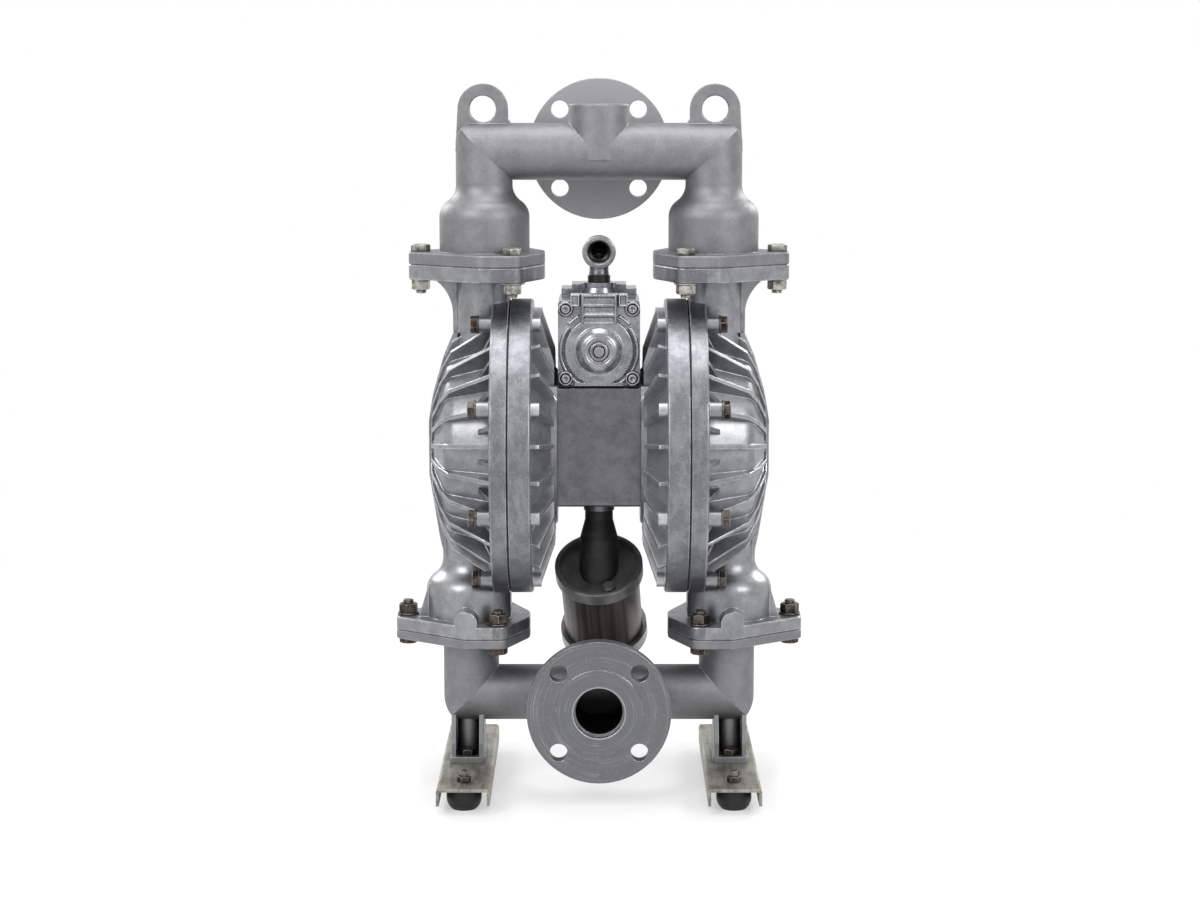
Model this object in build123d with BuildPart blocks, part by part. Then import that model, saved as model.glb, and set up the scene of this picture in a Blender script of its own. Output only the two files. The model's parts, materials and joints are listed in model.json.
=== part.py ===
from build123d import *
import os
from math import cos, radians, sin, sqrt

# Air operated double diaphragm pump with 2 inch flanged ports, in millimetres.
# The floor is z = 0, x = 0 is the plane between the two chambers, and the front is -Y.

# Heights of the main axes, each one stacked on the one before
suction_z = 99.5
lower_joint_rise = 72.5
rod_rise = 198.0
upper_joint_rise = 196.0
discharge_rise = 118.0

# Offsets from the middle plane: body side, air dish, clamp plane, then the ports
body_half_x = 44.0
dish_out = 17.5
clamp_out = 32.5
upper_port_out = 27.5
lower_port_out = 44.4

# Manifold pipes
pipe_r = 30.0
pipe_bore_r = 25.0
top_elbow_corner_r = 21.0
low_elbow_corner_r = 29.5
elbow_slack = 1.0
elbow_skin = 0.02
bell_r = 47.8
bell_wall = 6.0
low_bell_wall = 7.0
bell_straight = 49.0
bell_rise = 34.0
low_bell_straight = 42.0

# Standard flange of the ports
flange_r = 76.2
flange_t = 16.4
flange_face_y = 100.0
raised_face_r = 46.0
raised_face_t = 1.6
flange_circle_r = 60.325
flange_hole_r = 9.525
flange_holes = 4
flange_neck_r = 29.5
flange_hub_blend_r = 6.0
mouth_lip_r = 27.2
mouth_lip_depth = 9.0

# Lifting lugs
lug_out = 1.0
lug_rise = 44.5
lug_r = 26.5
lug_hole_r = 14.0
lug_t = 14.0
lug_toe = 6.0
lug_toe_rise = 4.0
lug_chamfer = 1.0

# Short stub over the middle of the top manifold
stub_r = 32.0
stub_rise = 50.0
stub_sink = 8.0
stub_edge_r = 1.5

# Three bolt joints between manifolds and chambers
tip_out = 80.0
tip_half = 16.0
corner_out = 3.0
plate_half = 73.0
shoulder_in = 39.0
inner_in = 64.0
inner_half = 14.0
joint_corner_r = 11.0
joint_inner_r = 24.0
joint_chamfer = 1.0
joint_bolt_out = 68.0
joint_bolt_in = 31.0
joint_bolt_half = 58.5
top_manifold_plate_t = 12.5
top_chamber_plate_t = 16.0
low_chamber_plate_t = 14.0
low_manifold_plate_t = 10.0

# Ball checks
ball_r = 30.0
ball_lift = 15.0
seat_bore_r = 23.0
seat_r = 37.5
seat_t = 12.0
seat_recess = 4.0
seat_gap = 0.25
seat_rest_gap = 0.3
seat_chamfer = 1.5
guide_gap = 1.0
guide_t = 5.0
guide_start = 12.0
stop_r = 12.0
stop_gap = 0.5
stop_t = 9.0
ring_r = 1.5
ring_gap = 0.1

# Clamped diaphragm plane
clamp_r = 157.5
clamp_chamfer = 1.5
diaphragm_t = 2.0
diaphragm_setback = 1.5
fluid_flange_t = 17.6
air_flange_t = 23.0
chamber_bolts = 8
chamber_bolt_edge = 10.5
chamber_boss_r = 8.5
chamber_boss_len = 13.0
air_boss_r = 7.5
air_boss_len = 9.0

# Outer domes
dome_out = 83.5
dome_wall = 7.0
dome_rim_edge = 38.5
dome_shoulder_in = 17.5
dome_shoulder_drop = 16.0
dome_crown_in = 4.5
dome_crown_drop = 46.0
dome_blend_r = 18.0
rib_count = 24
rib_t = 4.5
rib_stand = 3.5
rib_foot_edge = 12.5
rib_knee_in = 4.0
rib_knee_rise = 11.5
rib_turn_out = 7.5
rib_tip = 1.0
rib_sink = 8.0
stub_rib_len = 12.0
spine_half = 15.0
spine_stand = 4.0
spine_root = 10.0
spine_rise = 4.0
spine_corner_r = 12.0
pad_half_y = 9.0
pad_half_z = 18.0
pad_depth = 1.2
pad_corner_r = 2.0
neck_skin = 0.5
low_neck_lap = 20.0
low_bore_lap = 30.0
upper_web_half = 18.0
gusset_t = 9.0
gusset_margin = 1.0
gusset_bend_drop = 38.0
gusset_neck_out = 4.0
low_gusset_half = 16.0
low_gusset_rise = 36.0
low_gusset_root = 8.0
low_gusset_tip = 3.0
arch_r = 12.5
arch_lift = 3.5

# Inner air chambers
air_rib_t = 4.0
air_rib_sink = 8.0
air_rib_back = 3.0
air_shoulder_out = 17.5
air_shoulder_edge = 9.5
air_back_edge = 51.5
air_pocket_edge = 31.5
air_pocket_back_edge = 69.5
air_pocket_step = 6.0
air_lap = 1.0
valve_wall_half = 48.0
shelf_drop = 26.5
shelf_lip = 2.0
shelf_foot = 4.0
dish_rim_edge = 41.5
dish_disc_gap = 8.0
rod_window_r = 15.5
pilot_window_gap = 1.0
air_screw_circle_r = 30.0
air_screw_r = 4.0
air_screw_head_r = 6.5
air_screw_head_t = 8.0
air_screw_count = 4
air_screw_sink = 6.0

# Shuttle of rod, clamp discs and diaphragms
stroke = 16.0
rod_r = 12.5
rod_stud_r = 8.0
inner_disc_gap = 14.0
inner_disc_t = 12.0
outer_disc_gap = 10.0
outer_disc_t = 12.5
disc_edge_r = 4.0
disc_face_ratio = 0.6
disc_bevel_ratio = 0.4
end_nut_af = 24.0
end_nut_t = 13.0
end_stud_show = 3.0
convolution_edge = 45.5
convolution_width = 48.0
convolution_depth = 9.0

# Centre body and what it carries
body_half_y = 60.0
body_below_rod = 57.5
body_above_rod = 70.5
body_edge_r = 5.0
running_gap = 0.05
rod_way_gap = 2.0
bush_wall = 4.5
bush_len = 18.0
seal_len = 5.0
seal_wall = 5.5
pilot_lift = 34.0
pilot_rod_r = 5.0
pilot_sleeve_wall = 4.0
pilot_travel = 3.0
pilot_meet_gap = 0.3
pilot_groove_x = 14.0
pilot_groove_width = 10.0
pilot_groove_depth = 1.5
exhaust_boss_r = 16.5
exhaust_boss_len = 12.0
exhaust_spigot_r = 11.0
exhaust_spigot_len = 10.0
exhaust_bore_r = 8.5
exhaust_depth = 45.0

# Main air valve
gasket_t = 1.5
gasket_inset = 1.0
valve_half_x = 43.0
valve_half_y = 46.0
valve_height = 88.0
valve_corner_r = 9.0
valve_cap_t = 14.0
spool_lift = 36.5
spool_r = 11.0
spool_travel = 8.0
spool_half = 36.0
spool_neck_r = 6.5
sleeve_wall = 4.5
sleeve_half = 45.0
cap_ring_r = 36.0
cap_ring_t = 2.5
cap_ring_width = 3.0
cap_dome_r = 24.5
cap_dome_t = 8.0
cap_dome_step_r = 14.5
cap_hub_r = 9.4
cap_hub_rise = 1.5
cap_screw_x = 35.0
cap_screw_low = 7.5
cap_screw_high = 80.5
cap_screw_r = 2.5
cap_screw_head_r = 4.6
cap_screw_head_t = 4.5
cap_screw_sink = 12.0
cap_boss_r = 7.5
cap_well_r = 5.2
panel_half_x = 18.0
panel_low = 67.0
panel_height = 29.0
panel_t = 4.0
panel_bars = 3
panel_bar_t = 2.6
button_r = 5.6
button_stem_r = 3.5
button_travel = 4.0
button_stand = 2.6
button_head_t = 6.0
button_stem_len = 17.5
button_gap = 0.2
button_edge_r = 0.8
turret_r = 18.5
turret_height = 16.0
turret_base_r = 22.0
shoulder_half_x = 40.0
shoulder_height = 8.5
shoulder_front_y = 6.0
shoulder_step_x = 29.0
shoulder_step_height = 4.5

# Air inlet
nipple_r = 12.0
nipple_thread_r = 10.0
nipple_bore_r = 7.0
nipple_show = 7.0
nipple_sink = 6.0
inlet_rise = 26.5
inlet_mouth_y = 30.0
inlet_ring_r = 17.5
inlet_ring_len = 11.0
inlet_ring_edge_r = 1.5
inlet_body_r = 14.0
inlet_neck_r = 11.2
inlet_collar_af = 23.0
inlet_collar_len = 7.0
inlet_thread_r = 5.5
inlet_bore_r = 12.0
inlet_thread_len = 15.0
inlet_way_r = 4.5

# Exhaust boot and muffler
muffler_lean = 35.0
muffler_swing = 3.5
muffler_drop = 64.5
muffler_len = 108.0
muffler_cap_r = 47.5
muffler_cap_t = 14.0
muffler_rim_w = 4.0
muffler_recess = 6.0
muffler_shell_r = 42.5
muffler_shell_wall = 2.0
muffler_seat = 4.0
muffler_element_r = 26.0
muffler_element_wall = 7.0
muffler_screw_x = 9.0
muffler_screw_front = 31.0
muffler_screw_rear = 34.0
muffler_screw_r = 3.0
muffler_screw_head_r = 5.0
muffler_screw_head_t = 4.0
muffler_screw_lift = 1.0
muffler_boss_r = 7.0
muffler_boss_t = 4.0
muffler_hole_r = 12.0
muffler_vents = 8
muffler_vent_r = 3.5
muffler_vent_circle_r = 12.5
boot_top_r = 15.0
boot_bulge_r = 20.8
boot_foot_r = 21.0
boot_bulge_drop = 31.5
boot_wall = 3.5
boot_grip_gap = 0.1

# Pedestals, rails and feet
rail_out = 3.6
rail_half_y = 140.0
rail_width = 56.0
rail_height = 18.0
rail_bend_r = 3.5
rail_t = 3.0
rail_top = 28.0
pedestal_half_x = 19.0
pedestal_half_y = 34.0
pedestal_top_half_y = 20.0
pedestal_t = 7.0
pedestal_rib_x = 15.0
pedestal_rib_t = 5.0
pedestal_rib_drop = 15.5
pedestal_rib_inset = 4.0
pedestal_corner_r = 3.0
pedestal_column_r = 12.0
rail_bolt_y = 23.0
foot_y = 108.0
foot_r = 18.5
foot_crown_r = 12.0
foot_contact_r = 13.0
foot_stud_r = 4.0
foot_stud_show = 6.0
foot_stud_sink = 8.0
foot_bulge = 1.6
foot_knee_ratio = 0.2
foot_waist_ratio = 0.55

# Bolts and nuts: M12 in the joints, M10 in the clamp flanges, M10 and M8 on the rails
m12_r = 6.0
m12_af = 18.0
m12_head = 7.5
m12_nut = 10.0
m12_washer_r = 11.5
m10_r = 5.0
m10_af = 16.0
m10_head = 7.0
m10_nut = 8.0
m10_washer_r = 9.8
m8_af = 13.0
m8_nut = 6.5
m8_washer_r = 8.0
washer_t = 2.0
hole_gap = 0.5
socket_ratio = 0.55
socket_depth_ratio = 0.6
pick_slack = 1.0
bolt_show = 4.0
bolt_depth = 20.0

# Derived planes and axes
lower_joint_z = suction_z + lower_joint_rise
rod_z = lower_joint_z + rod_rise
upper_joint_z = rod_z + upper_joint_rise
discharge_z = upper_joint_z + discharge_rise
dish_x = body_half_x + dish_out
clamp_x = dish_x + clamp_out
upper_port_x = clamp_x + upper_port_out
lower_port_x = clamp_x + lower_port_out
rail_x = lower_port_x + rail_out
chamber_bolt_circle_r = clamp_r - chamber_bolt_edge
dome_out_x = clamp_x + dome_out
dome_shoulder_x = dome_out_x - dome_shoulder_in
dome_crown_x = dome_out_x - dome_crown_in
dome_rim_r = clamp_r - dome_rim_edge
dome_shoulder_r = dome_rim_r - dome_shoulder_drop
dome_crown_r = dome_shoulder_r - dome_crown_drop
rib_foot_r = clamp_r - rib_foot_edge
air_shoulder_x = body_half_x + air_shoulder_out
air_shoulder_r = clamp_r - air_shoulder_edge
air_rib_x = body_half_x + air_rib_back
air_back_r = clamp_r - air_back_edge
air_pocket_r = clamp_r - air_pocket_edge
air_pocket_back_r = clamp_r - air_pocket_back_edge
convolution_out_r = clamp_r - convolution_edge
convolution_in_r = convolution_out_r - convolution_width
inner_disc_r = convolution_in_r - inner_disc_gap
outer_disc_r = convolution_in_r - outer_disc_gap
dish_r = inner_disc_r + dish_disc_gap
dish_rim_r = clamp_r - dish_rim_edge
body_bottom = rod_z - body_below_rod
body_top = rod_z + body_above_rod
fluid_face_x = clamp_x + diaphragm_t / 2
air_face_x = clamp_x - diaphragm_t / 2
fluid_back_x = fluid_face_x + fluid_flange_t
air_back_x = air_face_x - air_flange_t
rod_axis = Axis((0, 0, rod_z), (1, 0, 0))
side = Plane(origin=(0, 0, rod_z), x_dir=(1, 0, 0), z_dir=(0, -1, 0))
front = Plane(origin=(0, 0, 0), x_dir=(1, 0, 0), z_dir=(0, -1, 0))
gasket_top = body_top + gasket_t
spool_z = gasket_top + spool_lift
gusset_clear = joint_bolt_out - m12_washer_r - gusset_margin
pilot_z = rod_z + pilot_lift
upper_ball_low = upper_joint_z - seat_recess
lower_ball_low = lower_joint_z - seat_recess
seat_height = sqrt(ball_r**2 - seat_bore_r**2)
guide_r = ball_r + guide_gap

os.makedirs("parts", exist_ok=True)


def save(part, name):
    part.label = name
    export_step(part, f"parts/{name}.step")


def joint_plate(port_x, bottom, thickness):
    # The plate has three lobes: one outboard tip and two inboard shoulders
    with BuildPart() as plate:
        with BuildSketch(Plane.XY.offset(bottom)) as outline:
            with BuildLine():
                Polyline(
                    (port_x + tip_out, tip_half),
                    (port_x + corner_out, plate_half),
                    (port_x - shoulder_in, plate_half),
                    (port_x - inner_in, inner_half),
                    (port_x - inner_in, -inner_half),
                    (port_x - shoulder_in, -plate_half),
                    (port_x + corner_out, -plate_half),
                    (port_x + tip_out, -tip_half),
                    close=True,
                )
            make_face()
            inner = outline.vertices().group_by(Axis.X)[0]
            fillet(outline.vertices() - inner, joint_corner_r)
            fillet(outline.vertices().group_by(Axis.X)[0], joint_inner_r)
        extrude(amount=thickness)
        chamfer(plate.faces().filter_by(Axis.Z).edges(), joint_chamfer)
    return plate.part


def joint_points(port_x):
    return [
        (port_x + joint_bolt_out, 0),
        (port_x - joint_bolt_in, joint_bolt_half),
        (port_x - joint_bolt_in, -joint_bolt_half),
    ]


def bell(port_x, mouth_z, straight, mouth_r, waist_r, end_z):
    # A straight skirt, an S-curve of two equal arcs, and a straight neck
    shoulder_z = mouth_z + straight
    waist_z = shoulder_z + bell_rise
    middle = ((mouth_r + waist_r) / 2, (shoulder_z + waist_z) / 2)
    with BuildPart() as body:
        with BuildSketch(front):
            with Locations((port_x, 0)):
                with BuildLine():
                    Line((0, mouth_z), (mouth_r, mouth_z))
                    Line((mouth_r, mouth_z), (mouth_r, shoulder_z))
                    TangentArc((mouth_r, shoulder_z), middle, tangent=(0, 1))
                    TangentArc((waist_r, waist_z), middle, tangent=(0, -1))
                    Line((waist_r, waist_z), (waist_r, end_z))
                    Line((waist_r, end_z), (0, end_z))
                    Line((0, end_z), (0, mouth_z))
                make_face()
        revolve(axis=Axis((0, 0, 0), (0, 0, 1)))
    return body.part.moved(Location((port_x, 0, 0)))


def mitred_leg(port_x, run_z, end_z, radius, up):
    # An upright pipe whose far end is cut on the diagonal of the elbow
    reach = radius + elbow_slack
    with BuildPart() as leg:
        with BuildSketch(Plane.XY.offset(end_z)):
            with Locations((port_x, 0)):
                Circle(radius)
        extrude(amount=run_z - end_z - up * reach)
        with BuildSketch(front):
            Polygon(
                (port_x + reach, run_z - up * reach),
                (port_x - reach, run_z + up * reach),
                (port_x - reach, end_z + up * elbow_slack),
                (port_x + reach, end_z + up * elbow_slack),
                align=None,
            )
        extrude(amount=reach, both=True, mode=Mode.INTERSECT)
    return leg.part


def pipe_run(port_x, run_z, end_z, radius, corner_r):
    # One level pipe between two upright ones, with mitred and rounded elbows
    up = 1 if end_z > run_z else -1
    reach = radius + elbow_slack
    round_x = port_x + radius + elbow_skin
    round_height = abs(end_z - run_z) + radius + elbow_skin + 2 * corner_r
    leg = mitred_leg(port_x, run_z, end_z, radius, up)
    with BuildPart() as run:
        with BuildSketch(Plane.YZ.offset(-port_x - reach)):
            with Locations((0, run_z)):
                Circle(radius)
        extrude(amount=2 * (port_x + reach))
        with BuildSketch(front):
            Polygon(
                (-port_x - reach, run_z - up * reach),
                (port_x + reach, run_z - up * reach),
                (port_x - reach, run_z + up * reach),
                (reach - port_x, run_z + up * reach),
                align=None,
            )
        extrude(amount=reach, both=True, mode=Mode.INTERSECT)
        add(leg)
        add(mirror(leg, about=Plane.YZ, mode=Mode.PRIVATE))
        with BuildSketch(front):
            with Locations((0, run_z - up * (radius + elbow_skin - round_height / 2))):
                RectangleRounded(2 * round_x, round_height, corner_r)
        extrude(amount=reach, both=True, mode=Mode.INTERSECT)
    return run.part


def ball_guides(port_x, casing, seat_low):
    # Four ribs keep the ball on its axis, and their toes stop its lift
    ball_z = seat_low + seat_t + seat_height
    stop_z = ball_z + ball_lift + sqrt(ball_r**2 - stop_r**2) + stop_gap
    start_z = seat_low + seat_t + guide_start
    with BuildPart() as guides:
        with BuildSketch(Plane.XY.offset(start_z)):
            with Locations((port_x, 0)):
                Rectangle(2 * bell_r, guide_t, rotation=45)
                Rectangle(2 * bell_r, guide_t, rotation=-45)
        extrude(amount=stop_z + stop_t - start_z)
        add(casing, mode=Mode.INTERSECT)
        with BuildSketch(Plane.XY.offset(start_z)):
            with Locations((port_x, 0)):
                Circle(guide_r)
        extrude(amount=stop_z - start_z, mode=Mode.SUBTRACT)
        with BuildSketch(Plane.XY.offset(start_z)):
            with Locations((port_x, 0)):
                Circle(stop_r)
        extrude(amount=stop_z + stop_t - start_z, mode=Mode.SUBTRACT)
    return guides.part


def port_flange(neck_start_y):
    # Neck, disc and raised face on +Y, with the bolt holes, around the Y axis
    with BuildPart() as flange:
        with BuildSketch(Plane.XZ.offset(-neck_start_y)):
            Circle(flange_neck_r)
        extrude(amount=neck_start_y - flange_face_y + flange_t)
        with BuildSketch(Plane.XZ.offset(raised_face_t - flange_face_y)):
            Circle(flange_r)
            with PolarLocations(flange_circle_r, flange_holes, start_angle=45):
                Circle(flange_hole_r, mode=Mode.SUBTRACT)
        extrude(amount=flange_t)
        rings = flange.edges().filter_by(GeomType.CIRCLE)
        hub_rings = rings.filter_by(lambda e: abs(e.radius - flange_neck_r) < running_gap)
        fillet(hub_rings.sort_by(Axis.Y)[-1], flange_hub_blend_r)
        with BuildSketch(Plane.XZ.offset(-flange_face_y)):
            Circle(raised_face_r)
        extrude(amount=raised_face_t)
    return flange.part


def hex_bolt(shank_r, length, across, head):
    # The head stands on z = 0 and the shank points down
    with BuildPart() as bolt:
        with BuildSketch():
            RegularPolygon(across / 2, 6, major_radius=False)
        extrude(amount=head)
        with BuildSketch():
            Circle(shank_r)
        extrude(amount=-length)
    return bolt.part


def hex_nut(across, height, bore_r):
    with BuildPart() as nut:
        with BuildSketch():
            RegularPolygon(across / 2, 6, major_radius=False)
            Circle(bore_r, mode=Mode.SUBTRACT)
        extrude(amount=height)
    return nut.part


def ring(outer_r, inner_r, height):
    with BuildPart() as body:
        with BuildSketch():
            Circle(outer_r)
            Circle(inner_r, mode=Mode.SUBTRACT)
        extrude(amount=height)
    return body.part


def socket_screw(shank_r, length, head_r, head_t):
    # The head stands on z = 0 with a hexagon socket, and the shank points down
    with BuildPart() as screw:
        with BuildSketch():
            Circle(head_r)
        extrude(amount=head_t)
        with BuildSketch(Plane.XY.offset(head_t)):
            RegularPolygon(head_r * socket_ratio, 6)
        extrude(amount=-head_t * socket_depth_ratio, mode=Mode.SUBTRACT)
        with BuildSketch():
            Circle(shank_r)
        extrude(amount=-length)
    return screw.part


def copies(piece, places):
    with BuildPart() as group:
        with Locations(*places):
            add(piece)
    return group.part


def dome(start_x, inset, blend_r):
    # The outer face of the fluid chamber, or its hollow when it is set in by the wall
    with BuildPart() as solid:
        with BuildSketch(side) as outline:
            Polygon(
                (start_x, 0),
                (start_x, dome_rim_r - inset),
                (dome_shoulder_x - inset, dome_shoulder_r - inset),
                (dome_crown_x - inset, dome_crown_r - inset / 2),
                (dome_out_x - inset, 0),
                align=None,
            )
            corners = outline.vertices().filter_by(lambda v: v.Y > pick_slack)
            fillet(corners.filter_by(lambda v: v.X > fluid_back_x + pick_slack), blend_r)
        revolve(axis=rod_axis)
    return solid.part


# Top manifold
top_run = pipe_run(upper_port_x, discharge_z, upper_joint_z + top_manifold_plate_t, pipe_r, top_elbow_corner_r)
top_bore = pipe_run(upper_port_x, discharge_z, upper_joint_z + top_manifold_plate_t, pipe_bore_r, top_elbow_corner_r)
top_bell = bell(upper_port_x, upper_joint_z, bell_straight, bell_r, pipe_r, discharge_z)
top_bell_bore = bell(
    upper_port_x, upper_joint_z, bell_straight - bell_wall / 2, bell_r - bell_wall, pipe_bore_r, discharge_z
)
top_plate = joint_plate(upper_port_x, upper_joint_z, top_manifold_plate_t)
top_guides = ball_guides(upper_port_x, top_bell, upper_ball_low)
top_flange = port_flange(0)

lug_x = upper_port_x + lug_out
lug_z = discharge_z + lug_rise
with BuildPart() as lug:
    with BuildSketch(Plane.XZ.offset(-lug_t / 2)) as lug_outline:
        with Locations((lug_x, lug_z)):
            Circle(lug_r)
        with BuildLine():
            Polyline(
                (lug_x + lug_r, lug_z),
                (upper_port_x + pipe_r, discharge_z),
                (upper_port_x, discharge_z),
                (lug_x - lug_r - lug_toe, discharge_z + pipe_r - lug_toe_rise),
                (lug_x - lug_r, discharge_z + pipe_r + lug_toe_rise),
                (lug_x - lug_r, lug_z),
                close=True,
            )
        make_face()
        with Locations((lug_x, lug_z)):
            Circle(lug_hole_r, mode=Mode.SUBTRACT)
    extrude(amount=lug_t)
    chamfer(lug.edges().filter_by(GeomType.CIRCLE).filter_by(lambda e: e.radius < lug_r - 1), lug_chamfer)

with BuildPart() as discharge_manifold:
    add(top_run)
    for casing in (top_bell, top_plate, lug.part):
        add(casing)
        add(mirror(casing, about=Plane.YZ, mode=Mode.PRIVATE))
    with BuildSketch(Plane.XY.offset(discharge_z - stub_sink)):
        Circle(stub_r)
    extrude(amount=stub_rise + stub_sink)
    fillet(discharge_manifold.faces().filter_by(Plane.XY).group_by(Axis.Z)[-1].edges(), stub_edge_r)
    add(top_flange.moved(Location((0, 0, discharge_z))))
    add(top_bore, mode=Mode.SUBTRACT)
    add(top_bell_bore, mode=Mode.SUBTRACT)
    add(mirror(top_bell_bore, about=Plane.YZ, mode=Mode.PRIVATE), mode=Mode.SUBTRACT)
    with BuildSketch(Plane.XZ.offset(-flange_face_y)):
        with Locations((0, discharge_z)):
            Circle(pipe_bore_r)
    extrude(amount=flange_face_y, mode=Mode.SUBTRACT)
    add(top_guides)
    add(mirror(top_guides, about=Plane.YZ, mode=Mode.PRIVATE))
    with BuildSketch(Plane.XY.offset(upper_joint_z)):
        with Locations(*joint_points(upper_port_x), *[(-x, y) for x, y in joint_points(upper_port_x)]):
            Circle(m12_r + hole_gap)
    extrude(amount=top_manifold_plate_t, mode=Mode.SUBTRACT)
save(discharge_manifold.part, "discharge_manifold")

# Bottom manifold
low_plate_bottom = lower_joint_z - low_manifold_plate_t
pedestal_rib_top = suction_z - pedestal_rib_drop
low_run = pipe_run(lower_port_x, suction_z, low_plate_bottom, pipe_r, low_elbow_corner_r)
low_bore = pipe_run(lower_port_x, suction_z, low_plate_bottom, pipe_bore_r, low_elbow_corner_r)
low_plate = joint_plate(lower_port_x, low_plate_bottom, low_manifold_plate_t)
low_flange = mirror(port_flange(0), about=Plane.XZ).moved(Location((0, 0, suction_z)))

with BuildPart() as pedestal:
    with BuildSketch(Plane.XY.offset(rail_top)):
        with Locations((rail_x, 0)):
            RectangleRounded(2 * pedestal_half_x, 2 * pedestal_half_y, pedestal_corner_r)
    extrude(amount=pedestal_t)
    with BuildSketch(Plane.XY.offset(rail_top)):
        with Locations((rail_x - pedestal_rib_x, 0), (rail_x + pedestal_rib_x, 0)):
            Rectangle(pedestal_rib_t, 2 * (pedestal_half_y - pedestal_rib_inset))
        with Locations((rail_x, 0)):
            Circle(pedestal_column_r)
    extrude(amount=pedestal_rib_top - rail_top)
    with BuildSketch(Plane.YZ):
        Polygon(
            (-pedestal_half_y, rail_top),
            (pedestal_half_y, rail_top),
            (pedestal_half_y, rail_top + pedestal_t),
            (pedestal_top_half_y, pedestal_rib_top),
            (-pedestal_top_half_y, pedestal_rib_top),
            (-pedestal_half_y, rail_top + pedestal_t),
            align=None,
        )
    extrude(amount=2 * rail_x, mode=Mode.INTERSECT)
    with BuildSketch(Plane.XY.offset(rail_top)):
        with Locations((rail_x, rail_bolt_y), (rail_x, -rail_bolt_y)):
            Circle(m10_r + hole_gap)
    extrude(amount=pedestal_t, mode=Mode.SUBTRACT)

with BuildPart() as suction_manifold:
    add(low_run)
    for casing in (low_plate, pedestal.part):
        add(casing)
        add(mirror(casing, about=Plane.YZ, mode=Mode.PRIVATE))
    add(low_flange)
    add(low_bore, mode=Mode.SUBTRACT)
    with BuildSketch(Plane.XZ.offset(flange_face_y)):
        with Locations((0, suction_z)):
            Circle(pipe_bore_r)
    extrude(amount=-flange_face_y, mode=Mode.SUBTRACT)
    with BuildSketch(Plane.XZ.offset(flange_face_y)):
        with Locations((0, suction_z)):
            Circle(mouth_lip_r)
    extrude(amount=-mouth_lip_depth, mode=Mode.SUBTRACT)
    with BuildSketch(Plane.XY.offset(low_plate_bottom)):
        with Locations((lower_port_x, 0), (-lower_port_x, 0)):
            Circle(pipe_bore_r)
    extrude(amount=low_manifold_plate_t, mode=Mode.SUBTRACT)
    with BuildSketch(Plane.XY.offset(lower_ball_low)):
        with Locations((lower_port_x, 0), (-lower_port_x, 0)):
            Circle(seat_r + seat_gap)
    extrude(amount=seat_recess, mode=Mode.SUBTRACT)
    with BuildSketch(Plane.XY.offset(low_plate_bottom)):
        with Locations(*joint_points(lower_port_x), *[(-x, y) for x, y in joint_points(lower_port_x)]):
            Circle(m12_r + hole_gap)
    extrude(amount=low_manifold_plate_t, mode=Mode.SUBTRACT)
save(suction_manifold.part, "suction_manifold")

# Outer fluid chamber on the right
low_chamber_top = lower_joint_z + low_chamber_plate_t
top_chamber_bottom = upper_joint_z - top_chamber_plate_t
low_bell_end = rod_z - dome_rim_r + low_neck_lap
low_bell = bell(lower_port_x, lower_joint_z, low_bell_straight, bell_r, pipe_r, low_bell_end)
low_bell_bore = bell(
    lower_port_x, lower_joint_z, low_bell_straight - bell_wall / 2, bell_r - low_bell_wall,
    pipe_bore_r, rod_z - dome_rim_r + low_bore_lap,
)
low_guides = ball_guides(lower_port_x, low_bell, lower_ball_low)
chamber_low_plate = joint_plate(lower_port_x, lower_joint_z, low_chamber_plate_t)
chamber_top_plate = joint_plate(upper_port_x, top_chamber_bottom, top_chamber_plate_t)
arch_limits = joint_plate(lower_port_x, lower_joint_z, low_chamber_plate_t + 2 * arch_r)

fluid_dome = dome(fluid_back_x, 0, dome_blend_r)
fluid_cavity = dome(fluid_face_x, dome_wall, dome_blend_r - dome_wall)

with BuildPart() as fluid_rib:
    with BuildSketch(side):
        Polygon(
            (fluid_back_x, rib_foot_r),
            (dome_shoulder_x - rib_knee_in, dome_shoulder_r + rib_knee_rise),
            (dome_shoulder_x + rib_turn_out, dome_shoulder_r - rib_knee_rise),
            (dome_crown_x + rib_stand, dome_crown_r + rib_stand),
            (dome_out_x + rib_tip, dome_crown_r / 2),
            (dome_crown_x - rib_stand, dome_crown_r / 2),
            (dome_shoulder_x - rib_sink, dome_shoulder_r - rib_sink),
            (fluid_back_x, dome_rim_r - rib_stand),
            align=None,
        )
    extrude(amount=rib_t / 2, both=True)

with BuildPart() as stub_rib:
    with BuildSketch(side):
        Polygon(
            (fluid_back_x, rib_foot_r),
            (fluid_back_x + stub_rib_len, dome_rim_r),
            (fluid_back_x + stub_rib_len, dome_rim_r - rib_sink),
            (fluid_back_x, dome_rim_r - rib_sink),
            align=None,
        )
    extrude(amount=rib_t / 2, both=True)

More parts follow.
